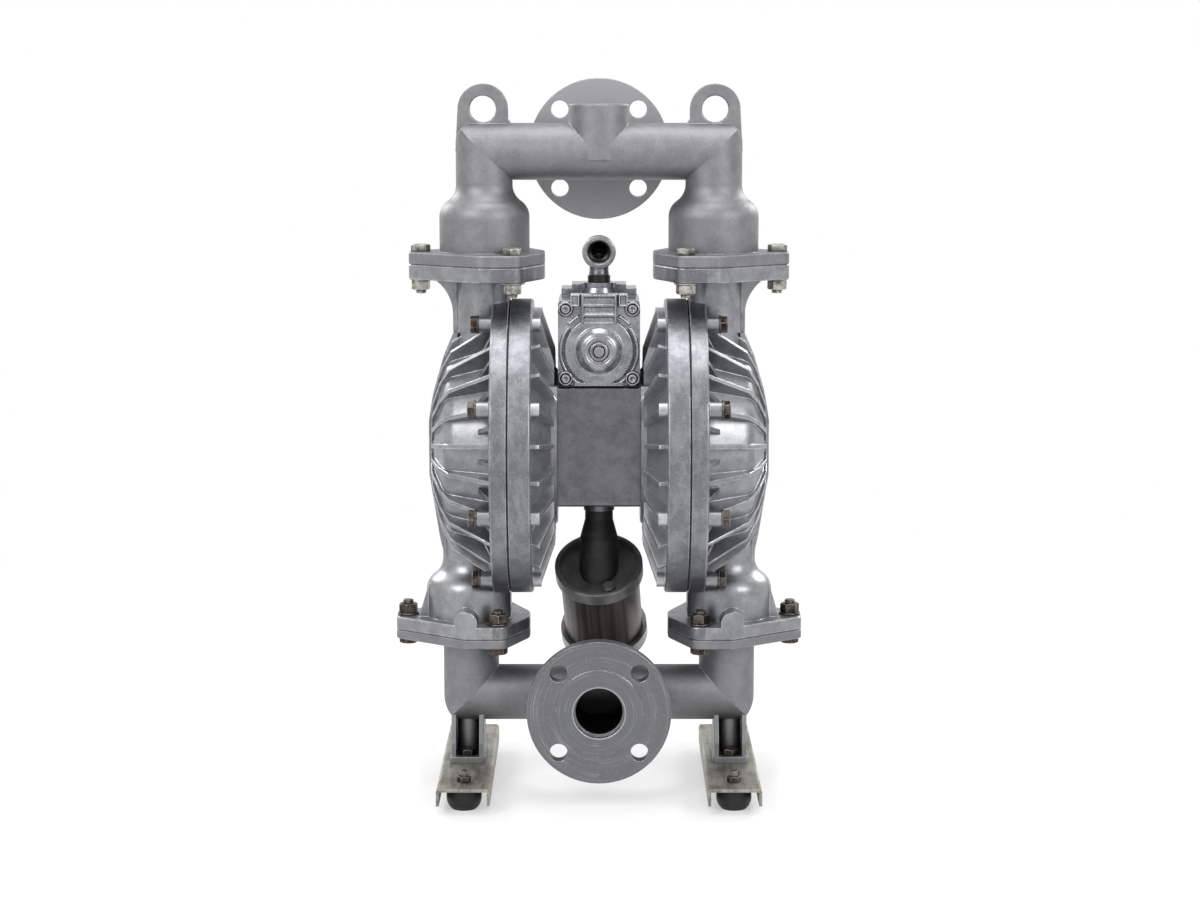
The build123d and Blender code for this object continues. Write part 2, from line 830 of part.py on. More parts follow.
with BuildPart() as spine:
    with BuildSketch(side) as spine_outline:
        Polygon(
            (dome_shoulder_x - spine_root, dome_rim_r + spine_rise),
            (dome_shoulder_x - spine_root / 2, dome_rim_r + spine_rise),
            (dome_crown_x - 2 * spine_stand, dome_shoulder_r - spine_stand),
            (dome_crown_x + spine_stand, dome_crown_r),
            (dome_out_x + spine_stand, dome_crown_r / 2),
            (dome_out_x + spine_stand, -dome_crown_r / 2),
            (dome_crown_x + spine_stand, -dome_crown_r),
            (dome_crown_x - spine_stand / 2, -dome_shoulder_r + 2 * spine_stand),
            (dome_shoulder_x + spine_root / 2, -dome_rim_r - spine_stand),
            (dome_shoulder_x - spine_root, -dome_rim_r - spine_stand),
            align=None,
        )
        fillet(spine_outline.vertices().group_by(Axis.X)[-1], spine_corner_r)
    extrude(amount=spine_half, both=True)
    with BuildSketch(Plane.YZ.offset(dome_out_x + spine_stand)):
        with Locations((0, rod_z)):
            RectangleRounded(2 * pad_half_y, 2 * pad_half_z, pad_corner_r)
    extrude(amount=-pad_depth, mode=Mode.SUBTRACT)

gusset_x = upper_port_x + pipe_r + gusset_neck_out
gusset_tip_x = upper_port_x + gusset_clear
gusset_bend_z = top_chamber_bottom - gusset_bend_drop
gusset_foot_z = rod_z + dome_shoulder_r
with BuildPart() as upper_gusset:
    with BuildSketch(front):
        with BuildLine():
            TangentArc((gusset_x, gusset_bend_z), (gusset_tip_x, top_chamber_bottom), tangent=(0, 1))
            Line((gusset_tip_x, top_chamber_bottom), (upper_port_x, top_chamber_bottom))
            Line((upper_port_x, top_chamber_bottom), (upper_port_x, gusset_foot_z))
            Line((upper_port_x, gusset_foot_z), (gusset_x, gusset_foot_z))
            Line((gusset_x, gusset_foot_z), (gusset_x, gusset_bend_z))
        make_face()
    extrude(amount=gusset_t / 2, both=True)

with BuildPart() as arch_boss:
    with BuildSketch(Plane.XZ.offset(-plate_half)):
        with Locations((lower_port_x + corner_out, low_chamber_top + arch_lift)):
            Circle(arch_r)
    extrude(amount=2 * plate_half)
    add(arch_limits, mode=Mode.INTERSECT)

with BuildPart() as fluid_flange:
    with BuildSketch(Plane.YZ.offset(fluid_face_x)):
        with Locations((0, rod_z)):
            Circle(clamp_r)
    extrude(amount=fluid_flange_t)
    chamfer(fluid_flange.faces().sort_by(Axis.X)[-1].edges(), clamp_chamfer)

with BuildPart() as fluid_chamber_right:
    add(fluid_flange.part)
    add(fluid_dome)
    add(spine.part)
    add([fluid_rib.part.rotate(rod_axis, (turn + 0.5) * 360 / rib_count) for turn in range(rib_count)])
    add([stub_rib.part.rotate(rod_axis, turn * 360 / rib_count) for turn in range(rib_count)])
    # Upper neck with its web and its concave outboard gusset
    with BuildSketch(Plane.XY.offset(rod_z + dome_crown_r)):
        with Locations((upper_port_x, 0)):
            Circle(pipe_r + neck_skin)
        with Locations(((fluid_face_x + fluid_back_x) / 2, 0)):
            Rectangle(fluid_flange_t, 2 * upper_web_half)
    extrude(amount=top_chamber_bottom - rod_z - dome_crown_r)
    add(upper_gusset.part)
    add(low_bell)
    with BuildSketch(front):
        Polygon(
            (lower_port_x + bell_r - low_gusset_root, low_chamber_top),
            (lower_port_x + gusset_clear, low_chamber_top),
            (lower_port_x + bell_r - low_gusset_tip, low_chamber_top + low_gusset_rise),
            (lower_port_x + bell_r - low_gusset_root, low_chamber_top + low_gusset_rise),
            align=None,
        )
    extrude(amount=low_gusset_half, both=True)
    add(arch_boss.part)
    split(bisect_by=Plane.YZ.offset(fluid_face_x), keep=Keep.TOP)
    add(chamber_low_plate)
    add(chamber_top_plate)
    with BuildSketch(Plane.YZ.offset(fluid_back_x)):
        with Locations((0, rod_z)):
            with PolarLocations(chamber_bolt_circle_r, chamber_bolts, start_angle=180 / chamber_bolts):
                Circle(chamber_boss_r)
    extrude(amount=chamber_boss_len)
    # Hollows: diaphragm cavity, port passages and ball cage
    add(fluid_cavity, mode=Mode.SUBTRACT)
    add(low_bell_bore, mode=Mode.SUBTRACT)
    with BuildSketch(Plane.XY.offset(rod_z + dome_crown_r)):
        with Locations((upper_port_x, 0)):
            Circle(pipe_bore_r)
            Rectangle(2 * (upper_port_x - fluid_back_x - bell_wall), 2 * pipe_r, mode=Mode.INTERSECT)
    extrude(amount=upper_joint_z - rod_z - dome_crown_r, mode=Mode.SUBTRACT)
    with BuildSketch(Plane.XY.offset(upper_joint_z)):
        with Locations((upper_port_x, 0)):
            Circle(pipe_bore_r)
    extrude(amount=-top_chamber_plate_t / 2, mode=Mode.SUBTRACT)
    with BuildSketch(Plane.XY.offset(upper_joint_z)):
        with Locations((upper_port_x, 0)):
            Circle(seat_r + seat_gap)
    extrude(amount=-seat_recess, mode=Mode.SUBTRACT)
    add(low_guides)
    # Bolt holes
    with BuildSketch(Plane.XY.offset(top_chamber_bottom)):
        with Locations(*joint_points(upper_port_x)):
            Circle(m12_r + hole_gap)
    extrude(amount=top_chamber_plate_t, mode=Mode.SUBTRACT)
    with BuildSketch(Plane.XY.offset(lower_joint_z)):
        with Locations(*joint_points(lower_port_x)):
            Circle(m12_r + hole_gap)
    extrude(amount=low_chamber_plate_t, mode=Mode.SUBTRACT)
    with BuildSketch(Plane.YZ.offset(fluid_face_x)):
        with Locations((0, rod_z)):
            with PolarLocations(chamber_bolt_circle_r, chamber_bolts, start_angle=180 / chamber_bolts):
                Circle(m10_r + hole_gap)
    extrude(amount=fluid_flange_t + chamber_boss_len, mode=Mode.SUBTRACT)
save(fluid_chamber_right.part, "fluid_chamber_right")
save(mirror(fluid_chamber_right.part, about=Plane.YZ), "fluid_chamber_left")

# Inner air chamber on the right
with BuildPart() as air_rib:
    with BuildSketch(side):
        Polygon(
            (air_back_x, rib_foot_r),
            (air_shoulder_x, air_shoulder_r),
            (air_rib_x, air_back_r),
            (air_rib_x, air_pocket_back_r - air_rib_sink),
            (body_half_x + air_rib_sink, air_pocket_back_r - air_rib_sink),
            (air_back_x + air_lap, air_pocket_r - air_rib_sink / 2),
            align=None,
        )
    extrude(amount=air_rib_t / 2, both=True)

# Beside the valve the pockets are filled by a plain wall
with BuildPart() as valve_wall:
    with BuildSketch(side):
        Polygon(
            (air_rib_x, 0),
            (air_rib_x, air_back_r),
            (air_shoulder_x, air_shoulder_r),
            (air_back_x + air_lap, air_shoulder_r),
            (air_back_x + air_lap, 0),
            align=None,
        )
    revolve(axis=rod_axis)
    with BuildSketch(Plane.XY.offset(body_top)):
        Rectangle(2 * clamp_x, 2 * valve_wall_half)
    extrude(amount=clamp_r, mode=Mode.INTERSECT)

with BuildPart() as air_flange:
    with BuildSketch(Plane.YZ.offset(air_back_x)):
        with Locations((0, rod_z)):
            Circle(clamp_r)
    extrude(amount=air_flange_t)
    chamfer(air_flange.faces().sort_by(Axis.X)[0].edges(), clamp_chamfer)

with BuildPart() as air_chamber_right:
    add(air_flange.part)
    with BuildSketch(side):
        Polygon(
            (body_half_x, 0),
            (body_half_x, air_pocket_back_r - air_pocket_step),
            (body_half_x + air_pocket_step, air_pocket_back_r),
            (air_back_x + air_lap, air_pocket_r),
            (air_back_x + air_lap, 0),
            align=None,
        )
    revolve(axis=rod_axis)
    add([air_rib.part.rotate(rod_axis, (turn + 0.5) * 360 / rib_count) for turn in range(rib_count)])
    add(valve_wall.part)
    # A level shelf carries on the top of the centre body
    with BuildSketch(front):
        Polygon(
            (body_half_x, body_top),
            (air_back_x + air_lap, body_top),
            (air_back_x + air_lap, body_top - shelf_lip),
            (body_half_x + shelf_foot, body_top - shelf_drop),
            (body_half_x, body_top - shelf_drop),
            align=None,
        )
    extrude(amount=body_half_y, both=True)
    with BuildSketch(Plane.YZ.offset(air_back_x)):
        with Locations((0, rod_z)):
            with PolarLocations(chamber_bolt_circle_r, chamber_bolts, start_angle=180 / chamber_bolts):
                Circle(air_boss_r)
    extrude(amount=-air_boss_len)
    # Dish for the inner clamp disc, rod and pilot windows, screw holes
    with BuildSketch(side):
        Polygon((dish_x, 0), (dish_x, dish_r), (air_face_x, dish_rim_r), (air_face_x, 0), align=None)
    revolve(axis=rod_axis, mode=Mode.SUBTRACT)
    with BuildSketch(Plane.YZ.offset(body_half_x)):
        with Locations((0, rod_z)):
            Circle(rod_window_r)
            with PolarLocations(air_screw_circle_r, air_screw_count, start_angle=45):
                Circle(air_screw_r + hole_gap)
        with Locations((0, pilot_z)):
            Circle(pilot_rod_r + pilot_window_gap)
    extrude(amount=dish_x - body_half_x, mode=Mode.SUBTRACT)
    with BuildSketch(Plane.YZ.offset(dish_x)):
        with Locations((0, rod_z)):
            with PolarLocations(air_screw_circle_r, air_screw_count, start_angle=45):
                Circle(air_screw_head_r + hole_gap)
    extrude(amount=-air_screw_head_t, mode=Mode.SUBTRACT)
    with BuildSketch(Plane.YZ.offset(air_face_x)):
        with Locations((0, rod_z)):
            with PolarLocations(chamber_bolt_circle_r, chamber_bolts, start_angle=180 / chamber_bolts):
                Circle(m10_r)
    extrude(amount=-air_flange_t, mode=Mode.SUBTRACT)
save(air_chamber_right.part, "air_chamber_right")
save(mirror(air_chamber_right.part, about=Plane.YZ), "air_chamber_left")

# Diaphragms
diaphragm_r = clamp_r - diaphragm_setback
with BuildPart() as diaphragm_right:
    with BuildSketch(side):
        with BuildLine():
            half_t = diaphragm_t / 2
            Polyline(
                (clamp_x - half_t, convolution_in_r), (clamp_x - half_t, rod_stud_r),
                (clamp_x + half_t, rod_stud_r), (clamp_x + half_t, convolution_in_r),
            )
            ThreePointArc(
                (clamp_x + half_t, convolution_in_r),
                (clamp_x + half_t - convolution_depth, (convolution_in_r + convolution_out_r) / 2),
                (clamp_x + half_t, convolution_out_r),
            )
            Polyline(
                (clamp_x + half_t, convolution_out_r), (clamp_x + half_t, diaphragm_r),
                (clamp_x - half_t, diaphragm_r), (clamp_x - half_t, convolution_out_r),
            )
            ThreePointArc(
                (clamp_x - half_t, convolution_out_r),
                (clamp_x - half_t - convolution_depth, (convolution_in_r + convolution_out_r) / 2),
                (clamp_x - half_t, convolution_in_r),
            )
        make_face()
    revolve(axis=rod_axis)
    with BuildSketch(Plane.YZ.offset(air_face_x)):
        with Locations((0, rod_z)):
            with PolarLocations(chamber_bolt_circle_r, chamber_bolts, start_angle=180 / chamber_bolts):
                Circle(m10_r + hole_gap)
    extrude(amount=diaphragm_t, mode=Mode.SUBTRACT)
save(diaphragm_right.part, "diaphragm_right")
save(mirror(diaphragm_right.part, about=Plane.YZ), "diaphragm_left")

# Shuttle: rod, inner and outer clamp discs, end nuts
inner_disc_x = air_face_x - inner_disc_t
outer_disc_end_x = fluid_face_x + outer_disc_t
rod_end_x = outer_disc_end_x + end_nut_t + end_stud_show
with BuildPart() as centre_rod:
    with BuildSketch(Plane.YZ.offset(-inner_disc_x)):
        with Locations((0, rod_z)):
            Circle(rod_r)
    extrude(amount=2 * inner_disc_x)
    with BuildSketch(Plane.YZ.offset(-rod_end_x)):
        with Locations((0, rod_z)):
            Circle(rod_stud_r)
    extrude(amount=2 * rod_end_x)
save(centre_rod.part, "centre_rod")

with BuildPart() as inner_disc:
    with BuildSketch(side) as disc_outline:
        Polygon(
            (inner_disc_x, rod_stud_r),
            (inner_disc_x, inner_disc_r * disc_face_ratio),
            (inner_disc_x + inner_disc_t * disc_bevel_ratio, inner_disc_r),
            (air_face_x, inner_disc_r),
            (air_face_x, rod_stud_r),
            align=None,
        )
        fillet(disc_outline.vertices().group_by(Axis.Y)[-1].sort_by(Axis.X)[0], disc_edge_r)
    revolve(axis=rod_axis)

with BuildPart() as outer_disc:
    with BuildSketch(side) as disc_outline:
        Polygon(
            (fluid_face_x, rod_stud_r),
            (fluid_face_x, outer_disc_r),
            (outer_disc_end_x - outer_disc_t * disc_bevel_ratio, outer_disc_r),
            (outer_disc_end_x, outer_disc_r * disc_face_ratio),
            (outer_disc_end_x, rod_stud_r),
            align=None,
        )
        fillet(disc_outline.vertices().group_by(Axis.Y)[-1].sort_by(Axis.X)[-1], disc_edge_r)
    revolve(axis=rod_axis)

with BuildPart() as inner_discs:
    add(inner_disc.part)
    add(mirror(inner_disc.part, about=Plane.YZ, mode=Mode.PRIVATE))
save(inner_discs.part, "inner_clamp_discs")

with BuildPart() as outer_discs:
    add(outer_disc.part)
    add(mirror(outer_disc.part, about=Plane.YZ, mode=Mode.PRIVATE))
save(outer_discs.part, "outer_clamp_discs")

rod_nuts = copies(
    hex_nut(end_nut_af, end_nut_t, rod_stud_r),
    [
        Location((outer_disc_end_x, 0, rod_z), (0, 90, 0)),
        Location((-outer_disc_end_x, 0, rod_z), (0, -90, 0)),
    ],
)
save(rod_nuts, "rod_end_nuts")

# Check balls, seats and their rings
ball_places = {
    "upper_left": (-upper_port_x, upper_ball_low),
    "upper_right": (upper_port_x, upper_ball_low),
    "lower_left": (-lower_port_x, lower_ball_low),
    "lower_right": (lower_port_x, lower_ball_low),
}
for where, (port_x, seat_low) in ball_places.items():
    with BuildPart() as check_ball:
        with Locations((port_x, 0, seat_low + seat_t + seat_height + seat_rest_gap)):
            Sphere(ball_r)
    save(check_ball.part, f"check_ball_{where}")

with BuildPart() as ball_seat:
    with BuildSketch():
        Circle(seat_r)
        Circle(seat_bore_r, mode=Mode.SUBTRACT)
    extrude(amount=seat_t)
    chamfer(ball_seat.faces().sort_by(Axis.Z)[-1].edges().sort_by(SortBy.RADIUS)[-1], seat_chamfer)

for level in ("upper", "lower"):
    places = [Location((x, 0, z)) for where, (x, z) in ball_places.items() if where.startswith(level)]
    save(copies(ball_seat.part, places), f"ball_seats_{level}")

# Centre body between the air chambers
with BuildPart() as centre_body:
    with BuildSketch(Plane.YZ.offset(-body_half_x)):
        with Locations((0, (body_bottom + body_top) / 2)):
            RectangleRounded(2 * body_half_y, body_top - body_bottom, body_edge_r)
    extrude(amount=2 * body_half_x)
    with BuildSketch(Plane.XY.offset(body_bottom)):
        Circle(exhaust_boss_r)
    extrude(amount=-exhaust_boss_len)
    with BuildSketch(Plane.XY.offset(body_bottom - exhaust_boss_len)):
        Circle(exhaust_spigot_r)
    extrude(amount=-exhaust_spigot_len)
    with BuildSketch(Plane.XY.offset(body_bottom - exhaust_boss_len - exhaust_spigot_len)):
        Circle(exhaust_bore_r)
    extrude(amount=exhaust_depth, mode=Mode.SUBTRACT)
    with BuildSketch(Plane.YZ.offset(-body_half_x)):
        with Locations((0, rod_z)):
            Circle(rod_r + rod_way_gap)
        with Locations((0, pilot_z)):
            Circle(pilot_rod_r + pilot_sleeve_wall)
        with Locations((0, rod_z)):
            with PolarLocations(air_screw_circle_r, air_screw_count, start_angle=45):
                Circle(air_screw_r)
    extrude(amount=2 * body_half_x, mode=Mode.SUBTRACT)
    for end in (-1, 1):
        with BuildSketch(Plane.YZ.offset(end * body_half_x)):
            with Locations((0, rod_z)):
                Circle(rod_r + bush_wall)
        extrude(amount=-end * (bush_len + seal_len), mode=Mode.SUBTRACT)
save(centre_body.part, "centre_body")

bush = ring(rod_r + bush_wall, rod_r + running_gap, bush_len)
bush_places = [
    Location((body_half_x - seal_len, 0, rod_z), (0, -90, 0)),
    Location((-body_half_x + seal_len, 0, rod_z), (0, 90, 0)),
]
save(copies(bush, bush_places), "rod_bushings")

seal = ring(rod_r + bush_wall, rod_r + running_gap, seal_len)
seal_places = [
    Location((body_half_x, 0, rod_z), (0, -90, 0)),
    Location((-body_half_x, 0, rod_z), (0, 90, 0)),
]
save(copies(seal, seal_places), "rod_seals")

with BuildPart() as pilot_sleeve:
    with BuildSketch(Plane.YZ.offset(-body_half_x)):
        with Locations((0, pilot_z)):
            Circle(pilot_rod_r + pilot_sleeve_wall)
            Circle(pilot_rod_r + running_gap, mode=Mode.SUBTRACT)
    extrude(amount=2 * body_half_x)
save(pilot_sleeve.part, "pilot_sleeve")

pilot_half = inner_disc_x - stroke + pilot_travel - pilot_meet_gap
with BuildPart() as pilot_rod:
    with BuildSketch(Plane.YZ.offset(-pilot_half)):
        with Locations((0, pilot_z)):
            Circle(pilot_rod_r)
    extrude(amount=2 * pilot_half)
    for land in (-1, 1):
        with BuildSketch(Plane.YZ.offset(land * pilot_groove_x - pilot_groove_width / 2)):
            with Locations((0, pilot_z)):
                Circle(pilot_rod_r)
                Circle(pilot_rod_r - pilot_groove_depth, mode=Mode.SUBTRACT)
        extrude(amount=pilot_groove_width, mode=Mode.SUBTRACT)
save(pilot_rod.part, "pilot_rod")

air_screw = socket_screw(air_screw_r, dish_x - body_half_x + air_screw_sink, air_screw_head_r, air_screw_head_t)
air_screw_places = []
for turn in range(air_screw_count):
    angle = radians(45 + 360 * turn / air_screw_count)
    y = air_screw_circle_r * cos(angle)
    z = rod_z + air_screw_circle_r * sin(angle)
    air_screw_places.append(Location((dish_x - air_screw_head_t, y, z), (0, 90, 0)))
    air_screw_places.append(Location((air_screw_head_t - dish_x, y, z), (0, -90, 0)))
save(copies(air_screw, air_screw_places), "air_chamber_screws")

for level, port_x, ring_z in (("upper", upper_port_x, upper_joint_z), ("lower", lower_port_x, lower_joint_z)):
    with BuildPart() as seat_rings:
        with Locations((port_x, 0, ring_z + ring_r), (-port_x, 0, ring_z + ring_r)):
            Torus(seat_r + ring_r + ring_gap, ring_r)
    save(seat_rings.part, f"seat_rings_{level}")

# Main air valve
with BuildPart() as valve_gasket:
    with BuildSketch(Plane.XY.offset(body_top)):
        Rectangle(2 * valve_half_x, 2 * (valve_half_y + valve_cap_t - gasket_inset))
    extrude(amount=gasket_t)
save(valve_gasket.part, "valve_gasket")

valve_top = gasket_top + valve_height
turret_top = valve_top + turret_height
with BuildPart() as valve_body:
    with BuildSketch(Plane.XZ.offset(-valve_half_y)):
        with Locations((0, gasket_top + valve_height / 2)):
            RectangleRounded(2 * valve_half_x, valve_height, valve_corner_r / 2)
    extrude(amount=2 * valve_half_y)
    with BuildSketch(Plane.XZ.offset(-valve_half_y)):
        with Locations((0, valve_top)):
            Rectangle(2 * shoulder_half_x, 2 * shoulder_height)
            Rectangle(2 * shoulder_step_x, 2 * (shoulder_height + shoulder_step_height))
    extrude(amount=valve_half_y - shoulder_front_y)
    with BuildSketch(Plane.XY.offset(valve_top)):
        Circle(turret_base_r)
    with BuildSketch(Plane.XY.offset(turret_top - turret_height / 3)):
        Circle(turret_r)
    loft()
    with BuildSketch(Plane.XY.offset(valve_top)):
        Circle(turret_r)
    extrude(amount=turret_height)
    with BuildSketch(Plane.XZ.offset(-valve_half_y)):
        with Locations((0, spool_z)):
            Circle(spool_r + sleeve_wall)
    extrude(amount=2 * valve_half_y, mode=Mode.SUBTRACT)
    with BuildSketch(Plane.XY.offset(turret_top)):
        Circle(nipple_thread_r)
    extrude(amount=-nipple_sink, mode=Mode.SUBTRACT)
    with BuildSketch(Plane.XY.offset(turret_top)):
        Circle(nipple_bore_r)
    extrude(amount=spool_z - turret_top, mode=Mode.SUBTRACT)
    with BuildSketch(Plane.XZ.offset(-valve_half_y)):
        for height in (cap_screw_low, cap_screw_high):
            with Locations((cap_screw_x, gasket_top + height), (-cap_screw_x, gasket_top + height)):
                Circle(cap_screw_r)
    extrude(amount=2 * valve_half_y, mode=Mode.SUBTRACT)
save(valve_body.part, "valve_body")

# The cap is drawn looking along the spool, with z_dir towards the front
cap_face_y = valve_half_y + valve_cap_t
cap_front = Plane(origin=(0, -cap_face_y, spool_z), x_dir=(1, 0, 0), z_dir=(0, -1, 0))
cap_low = gasket_top - spool_z
cap_screw_spots = [(x, cap_low + h) for x in (-cap_screw_x, cap_screw_x) for h in (cap_screw_low, cap_screw_high)]
hub_t = cap_dome_t + cap_hub_rise
with BuildPart() as plain_cap:
    with BuildSketch(cap_front):
        with Locations((0, cap_low + valve_height / 2)):
            RectangleRounded(2 * valve_half_x, valve_height, valve_corner_r)
        with Locations(*cap_screw_spots):
            Circle(cap_boss_r)
        with Locations((0, cap_low - valve_height)):
            Rectangle(4 * valve_half_x, 2 * valve_height, mode=Mode.SUBTRACT)
    extrude(amount=-valve_cap_t)
    with BuildSketch(cap_front):
        Circle(cap_ring_r)
        with Locations(*cap_screw_spots):
            Circle(cap_boss_r)
        Circle(cap_ring_r - cap_ring_width, mode=Mode.SUBTRACT)
        with Locations(*cap_screw_spots):
            Circle(cap_well_r, mode=Mode.SUBTRACT)
    extrude(amount=cap_ring_t)
    with BuildSketch(cap_front):
        Circle(cap_dome_r)
    with BuildSketch(cap_front.offset(cap_dome_t)):
        Circle(cap_dome_step_r)
    loft()
    with BuildSketch(cap_front.offset(cap_dome_t)):
        Circle(cap_hub_r)
    extrude(amount=hub_t - cap_dome_t)
    with BuildSketch(cap_front):
        with Locations(*cap_screw_spots):
            Circle(cap_screw_r + hole_gap / 2)
    extrude(amount=-valve_cap_t, mode=Mode.SUBTRACT)

with BuildPart() as valve_cap_front:
    add(plain_cap.part)
    with BuildSketch(cap_front):
        with Locations((0, cap_low + panel_low + panel_height / 2)):
            Rectangle(2 * panel_half_x, panel_height)
    extrude(amount=panel_t - panel_bar_t)
    with BuildSketch(cap_front):
        with Locations((0, cap_low + panel_low + panel_height / 2)):
            Rectangle(2 * panel_half_x, panel_height)
    extrude(amount=-valve_cap_t)
    with BuildSketch(cap_front):
        with Locations((0, cap_low + panel_low + panel_height / 2)):
            with GridLocations(0, (panel_height - panel_bar_t) / (panel_bars - 1), 1, panel_bars):
                Rectangle(2 * panel_half_x, panel_bar_t)
            with GridLocations(2 * panel_half_x - panel_bar_t, 0, 2, 1):
                Rectangle(panel_bar_t, panel_height)
    extrude(amount=panel_t)
    with BuildSketch(cap_front.offset(hub_t)):
        Circle(button_r + button_gap)
    extrude(amount=button_stand - button_head_t - button_travel - button_gap, mode=Mode.SUBTRACT)
    with BuildSketch(cap_front.offset(hub_t)):
        Circle(button_stem_r + button_gap)
    extrude(amount=-hub_t - valve_cap_t, mode=Mode.SUBTRACT)
save(valve_cap_front.part, "valve_cap_front")
save(mirror(plain_cap.part, about=Plane.XZ), "valve_cap_rear")

with BuildPart() as reset_button:
    with BuildSketch(cap_front.offset(hub_t + button_stand)):
        Circle(button_r)
    extrude(amount=-button_head_t)
    with BuildSketch(cap_front.offset(hub_t + button_stand)):
        Circle(button_stem_r)
    extrude(amount=-button_head_t - button_stem_len)
    fillet(reset_button.faces().sort_by(Axis.Y)[0].edges(), button_edge_r)
save(reset_button.part, "reset_button")

cap_screw_places = []
for x in (-cap_screw_x, cap_screw_x):
    for height in (cap_screw_low, cap_screw_high):
        cap_screw_places.append(Location((x, -cap_face_y, gasket_top + height), (90, 0, 0)))
        cap_screw_places.append(Location((x, cap_face_y, gasket_top + height), (-90, 0, 0)))
cap_screw = socket_screw(cap_screw_r, valve_cap_t + cap_screw_sink, cap_screw_head_r, cap_screw_head_t)
save(copies(cap_screw, cap_screw_places), "valve_cap_screws")

with BuildPart() as spool_sleeve:
    with BuildSketch(Plane.XZ.offset(-sleeve_half)):
        with Locations((0, spool_z)):
            Circle(spool_r + sleeve_wall)
            Circle(spool_r + running_gap, mode=Mode.SUBTRACT)
    extrude(amount=2 * sleeve_half)
    with BuildSketch(Plane.XY.offset(spool_z)):
        with GridLocations(0, 2 * spool_half / 3, 1, 3):
            Circle(nipple_bore_r / 2)
    extrude(amount=2 * spool_r, both=True, mode=Mode.SUBTRACT)
save(spool_sleeve.part, "spool_sleeve")

with BuildPart() as main_spool:
    with BuildSketch(Plane.XZ.offset(-spool_half)):
        with Locations((0, spool_z)):
            Circle(spool_r)
    extrude(amount=2 * spool_half)
    for land_y in (-spool_half / 3, spool_half / 3):
        with BuildSketch(Plane.XZ.offset(-land_y - spool_travel)):
            with Locations((0, spool_z)):
                Circle(spool_r)
                Circle(spool_neck_r, mode=Mode.SUBTRACT)
        extrude(amount=2 * spool_travel, mode=Mode.SUBTRACT)
save(main_spool.part, "main_spool")

# Air inlet bushing and street elbow
nipple_top = turret_top + nipple_show
inlet_z = nipple_top + inlet_rise
with BuildPart() as inlet_bushing:
    with BuildSketch(Plane.XY.offset(turret_top)):
        Circle(nipple_r)
    extrude(amount=nipple_show)
    with BuildSketch(Plane.XY.offset(turret_top)):
        Circle(nipple_thread_r)
    extrude(amount=-nipple_sink)
    with BuildSketch(Plane.XY.offset(nipple_top)):
        Circle(nipple_bore_r)
    extrude(amount=-nipple_show - nipple_sink, mode=Mode.SUBTRACT)
save(inlet_bushing.part, "inlet_bushing")

with BuildPart() as inlet_elbow:
    with BuildSketch(Plane.XY.offset(nipple_top)):
        Circle(inlet_neck_r)
    extrude(amount=inlet_z - nipple_top)
    with BuildSketch(Plane.XY.offset(nipple_top)):
        RegularPolygon(inlet_collar_af / 2, 6, major_radius=False)
    extrude(amount=inlet_collar_len)
    with BuildSketch(Plane.XY.offset(nipple_top)):
        Circle(nipple_bore_r)
    extrude(amount=-nipple_show)
    with Locations((0, 0, inlet_z)):
        Sphere(inlet_body_r)
    with BuildSketch(Plane.XZ):
        with Locations((0, inlet_z)):
            Circle(inlet_body_r)
    extrude(amount=inlet_mouth_y)
    with BuildSketch(Plane.XZ.offset(inlet_mouth_y)):
        with Locations((0, inlet_z)):
            Circle(inlet_ring_r)
    extrude(amount=-inlet_ring_len)
    round_edges = inlet_elbow.edges().filter_by(GeomType.CIRCLE)
    fillet(round_edges.filter_by(lambda e: e.radius > inlet_ring_r - running_gap), inlet_ring_edge_r)
    with BuildSketch(Plane.XZ.offset(inlet_mouth_y)):
        with Locations((0, inlet_z)):
            Circle(inlet_bore_r)
    extrude(amount=-inlet_thread_len, mode=Mode.SUBTRACT)
    with BuildSketch(Plane.XZ):
        with Locations((0, inlet_z)):
            Circle(inlet_way_r * 2)
    extrude(amount=inlet_mouth_y, mode=Mode.SUBTRACT)
    with BuildSketch(Plane.XY.offset(turret_top)):
        Circle(inlet_way_r)
    extrude(amount=inlet_z - turret_top, mode=Mode.SUBTRACT)
save(inlet_elbow.part, "inlet_elbow")

# Exhaust boot and the leaning muffler
lean = radians(muffler_lean)
swing = radians(muffler_swing)
boot_top = body_bottom - exhaust_boss_len
boot_bulge_z = boot_top - boot_bulge_drop
muffler_floor_z = boot_top - muffler_drop
muffler_base = Plane(
    origin=(0, 0, muffler_floor_z),
    x_dir=(cos(lean), 0, sin(swing)),
    z_dir=(-sin(swing), -sin(lean), cos(lean)),
)
muffler = muffler_base.offset(muffler_recess)
screw_spots = [(muffler_screw_x, -muffler_screw_front), (-muffler_screw_x, muffler_screw_rear)]
low_cap_floor = muffler_cap_t - muffler_len

